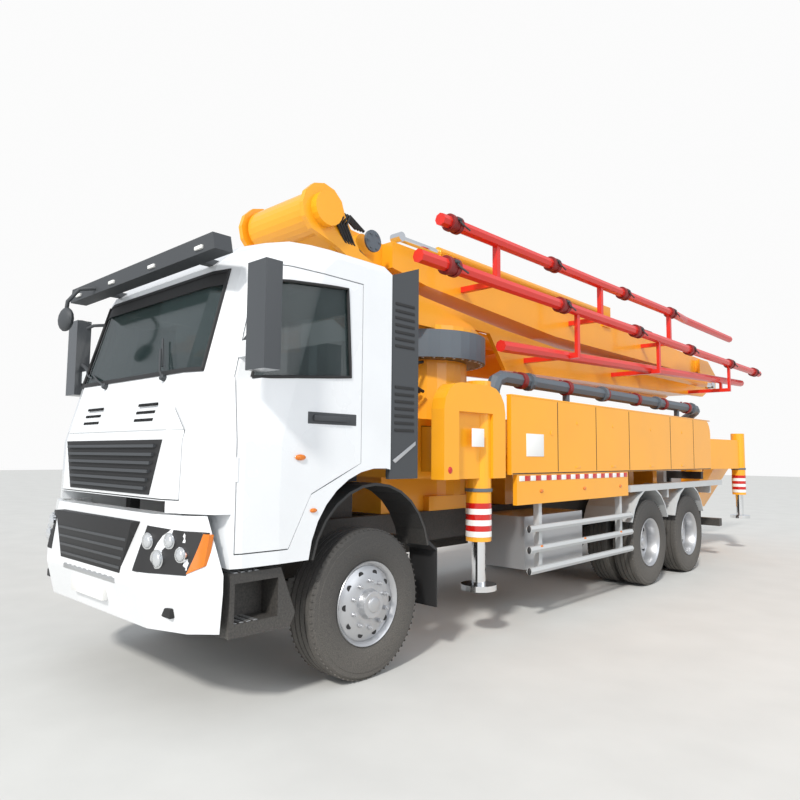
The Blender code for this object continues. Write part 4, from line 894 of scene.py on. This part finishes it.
@dataclass
class BoomDetail:
    """Clamps, hoses and pin caps along the boom."""

    def clamps(self) -> None:
        """Pipe clamps and their levers, on the pipes of sections one and two."""
        runs = (("boom_1", (1.08, 3.30), (1.05, 3.05, 5.05, 7.05, 9.05, 10.55)),
                ("boom_2", (0.80, None), (1.45, 3.35, 5.30, 7.05)))
        for body, (x, z), ys in runs:
            rings, levers = Shape(), Shape()
            for y in ys:
                zz = z if z else 3.86 + 0.07 * (y - 1.25) / 6.05
                for s in (-0.055, 0.055):
                    rings.rod((x, y + s - 0.022, zz), (x, y + s + 0.022, zz), 0.086, sides=24)
                rings.rod((x, y - 0.06, zz), (x, y + 0.06, zz), 0.076, sides=24)
                levers.tube([(x + 0.085, y, zz + 0.01), (x + 0.100, y + 0.03, zz - 0.02), (x + 0.092, y + 0.15, zz - 0.045)], 0.009, 8)
                levers.rod((x + 0.078, y - 0.03, zz + 0.03), (x + 0.078, y + 0.03, zz + 0.03), 0.016, sides=12)
            rings.piece(body + "_pipe_clamps", body, MAROON)
            levers.piece(body + "_clamp_levers", body, CHARCOAL)

    def pins(self) -> None:
        """Pin heads and keeper plates at the boom's hinges."""
        for body, points in (("boom_1", ((0.40, 10.25, 3.12), (0.40, 0.10, 3.70))), ("boom_2", ((0.36, 0.78, 3.62),))):
            caps = Shape()
            for x, y, z in points:
                for k in (1, -1):
                    caps.rod((k * x, y, z), (k * (x + 0.022), y, z), 0.105, sides=32)
                    for i in range(6):
                        t = math.tau * i / 6
                        at = (y + math.cos(t) * 0.075, z + math.sin(t) * 0.075)
                        caps.rod((k * (x + 0.020), *at), (k * (x + 0.032), *at), 0.013, sides=6, bevel=0.001)
            caps.piece(body + "_pin_caps", body, SLATE)

    def hoses(self) -> None:
        """Hydraulic hose loops near the hinges and a bundle along section two."""
        one, two = Shape(), Shape()
        for i in range(4):
            d = i * 0.034
            one.tube([(0.41, 0.55 + d, 3.42), (0.46, 0.35 + d, 3.48), (0.50, 0.22 + d, 3.62), (0.44, 0.32 + d, 3.74),
                      (0.41, 0.52 + d, 3.66)], 0.014)
        for i in range(3):
            two.tube([(0.352, 1.9, 3.70 - i * 0.035), (0.354, 4.5, 3.70 - i * 0.035), (0.352, 7.4, 3.72 - i * 0.035)], 0.010, 8)
        one.piece("boom_1_hoses", "boom_1", HOSE)
        two.piece("boom_2_hoses", "boom_2", HOSE)

    def build(self) -> None:
        """Make every piece of the boom detail."""
        self.clamps()
        self.pins()
        self.hoses()


@dataclass
class Outriggers:
    """Hazard bands, blank labels and lamps of the outriggers."""

    def build(self) -> None:
        """Make the bands of all four jacks and the lamps of the front hoops."""
        for side in Side:
            k, tag = side.value, side.name.lower()
            for end, body, y, r, low in (("front", f"front_{tag}_leg_beam", 1.45, 0.115, 0.90),
                                         ("rear", f"rear_{tag}_leg_arm", 9.30, 0.11, 1.02)):
                red, white, cap = Shape(), Shape(), Shape()
                for i in range(6):
                    z = low + i * 0.05
                    self.ring(red if i % 2 else white, k * 1.10, y, z, r)
                red.piece(f"{end}_{tag}_jack_bands_red", body, CRIMSON)
                white.piece(f"{end}_{tag}_jack_bands_white", body, REFLECT)
                cap.rod((k * 1.10, y, low + 0.40), (k * 1.10, y, low + 0.43), r + 0.010, sides=32)
                cap.piece(f"{end}_{tag}_jack_collar", body, SLATE)
            lamp = Shape().ball((k * 1.238, 0.86, 1.50), (0.012, 0.030, 0.030))
            lamp.piece(f"front_{tag}_outrigger_lamp", f"front_{tag}_leg_beam", CRIMSON)
            plate = Shape().box((k * 1.238, k * 1.242), (1.16, 1.34), (1.70, 1.86), 0.001)
            plate.piece(f"front_{tag}_outrigger_blank_label", f"front_{tag}_leg_beam", REFLECT)

    @staticmethod
    def ring(shape: Shape, x: float, y: float, z: float, r: float) -> None:
        """Add one thin painted band round a vertical leg.

        Args:
            shape: Shape to add to.
            x: Leg centre.
            y: Leg centre.
            z: Band's lower edge.
            r: Leg radius.
        """
        n = 40
        rows = [[shape.bm.verts.new((x + math.cos(math.tau * i / n) * q, y + math.sin(math.tau * i / n) * q + DATUM_Y, h))
                 for i in range(n)] for q, h in ((r - 0.001, z), (r + 0.003, z), (r + 0.003, z + 0.0495), (r - 0.001, z + 0.0495))]
        for a in range(4):
            b = (a + 1) % 4
            for i in range(n):
                j = (i + 1) % n
                shape.bm.faces.new((rows[a][i], rows[a][j], rows[b][j], rows[b][i]))


def dress_nodes(frame: dict) -> None:
    """Give every carried-over CAD node the finish of its slot.

    Args:
        frame: The loaded frame.
    """
    for name, obj in frame["nodes"].items():
        slot = obj.data.materials[0].name.split(".")[0] if obj.data.materials else ""
        finish = DOOR if name in ("left_door", "right_door") else NODE_LOOK.get(slot, GREY)
        obj.data.materials.clear()
        obj.data.materials.append(finish.build())
        LOG.info("node %s wears %s", name, finish.name)


def studio() -> None:
    """Add the floor, backdrop and lights."""
    mesh = bpy.data.meshes.new("studio_floor")
    bm = bmesh.new()
    bmesh.ops.create_grid(bm, x_segments=1, y_segments=1, size=60.0)
    bm.to_mesh(mesh)
    bm.free()
    floor = bpy.data.objects.new("studio_floor", mesh)
    mesh.materials.append(FLOOR.build())
    bpy.context.scene.collection.objects.link(floor)
    world = bpy.data.worlds.new("soft_sky")
    bpy.context.scene.world = world
    world.use_nodes = True
    tree = world.node_tree
    soft = tree.nodes["Background"]
    soft.inputs["Color"].default_value = (0.86, 0.90, 0.96, 1.0)
    soft.inputs["Strength"].default_value = 0.75
    plain = tree.nodes.new("ShaderNodeBackground")
    plain.inputs["Color"].default_value = (0.97, 0.97, 0.97, 1.0)
    plain.inputs["Strength"].default_value = 1.0
    path, mix = tree.nodes.new("ShaderNodeLightPath"), tree.nodes.new("ShaderNodeMixShader")
    tree.links.new(path.outputs["Is Camera Ray"], mix.inputs["Fac"])
    tree.links.new(soft.outputs["Background"], mix.inputs[1])
    tree.links.new(plain.outputs["Background"], mix.inputs[2])
    tree.links.new(mix.outputs["Shader"], tree.nodes["World Output"].inputs["Surface"])
    for name, kind, at, aim, energy, size, colour in (
            ("key_sun", "SUN", (6.0, -14.0, 14.0), (0.0, 0.0, 1.5), 2.6, 0.10, (1.0, 0.97, 0.92)),
            ("side_fill", "AREA", (13.0, -2.0, 7.0), (1.0, 0.0, 1.5), 420.0, 9.0, (0.95, 0.97, 1.0)),
            ("front_fill", "AREA", (2.0, -15.0, 5.0), (0.0, -4.0, 1.6), 260.0, 7.0, (1.0, 0.99, 0.97))):
        data = bpy.data.lights.new(name, kind)
        data.energy = energy
        data.color = colour
        if kind == "SUN":
            data.angle = size
        else:
            data.size = size
        lamp = bpy.data.objects.new(name, data)
        lamp.location = at
        lamp.rotation_euler = (Vector(aim) - Vector(at)).to_track_quat("-Z", "Y").to_euler()
        bpy.context.scene.collection.objects.link(lamp)


def camera() -> None:
    """Place the camera as the photograph's."""
    yaw, pitch, roll = math.radians(42.84), math.radians(4.83), math.radians(0.53)
    f = Vector((-math.sin(yaw) * math.cos(pitch), math.cos(yaw) * math.cos(pitch), math.sin(pitch)))
    r = Vector((math.cos(yaw), math.sin(yaw), 0.0))
    u = r.cross(f)
    right = math.cos(roll) * r + math.sin(roll) * u
    up = -math.sin(roll) * r + math.cos(roll) * u
    data = bpy.data.cameras.new("photo_camera")
    data.sensor_width = 36.0
    data.lens = 653.7 / 800.0 * 36.0
    data.dof.use_dof = False
    data.clip_end = 300.0
    obj = bpy.data.objects.new("photo_camera", data)
    obj.matrix_world = Matrix.Translation((4.640, -8.108, 1.620)) @ Matrix((right, up, -f)).transposed().to_4x4()
    bpy.context.scene.collection.objects.link(obj)
    bpy.context.scene.camera = obj


def main() -> None:
    logging.basicConfig(level=logging.INFO, format="%(name)s %(message)s")
    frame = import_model()
    build_wheels()
    CabFront().build()
    Bodywork().build()
    BoomDetail().build()
    Outriggers().build()
    dress_nodes(frame)
    studio()
    camera()
    bpy.context.scene.view_settings.view_transform = "Standard"


if __name__ == "__main__":
    main()
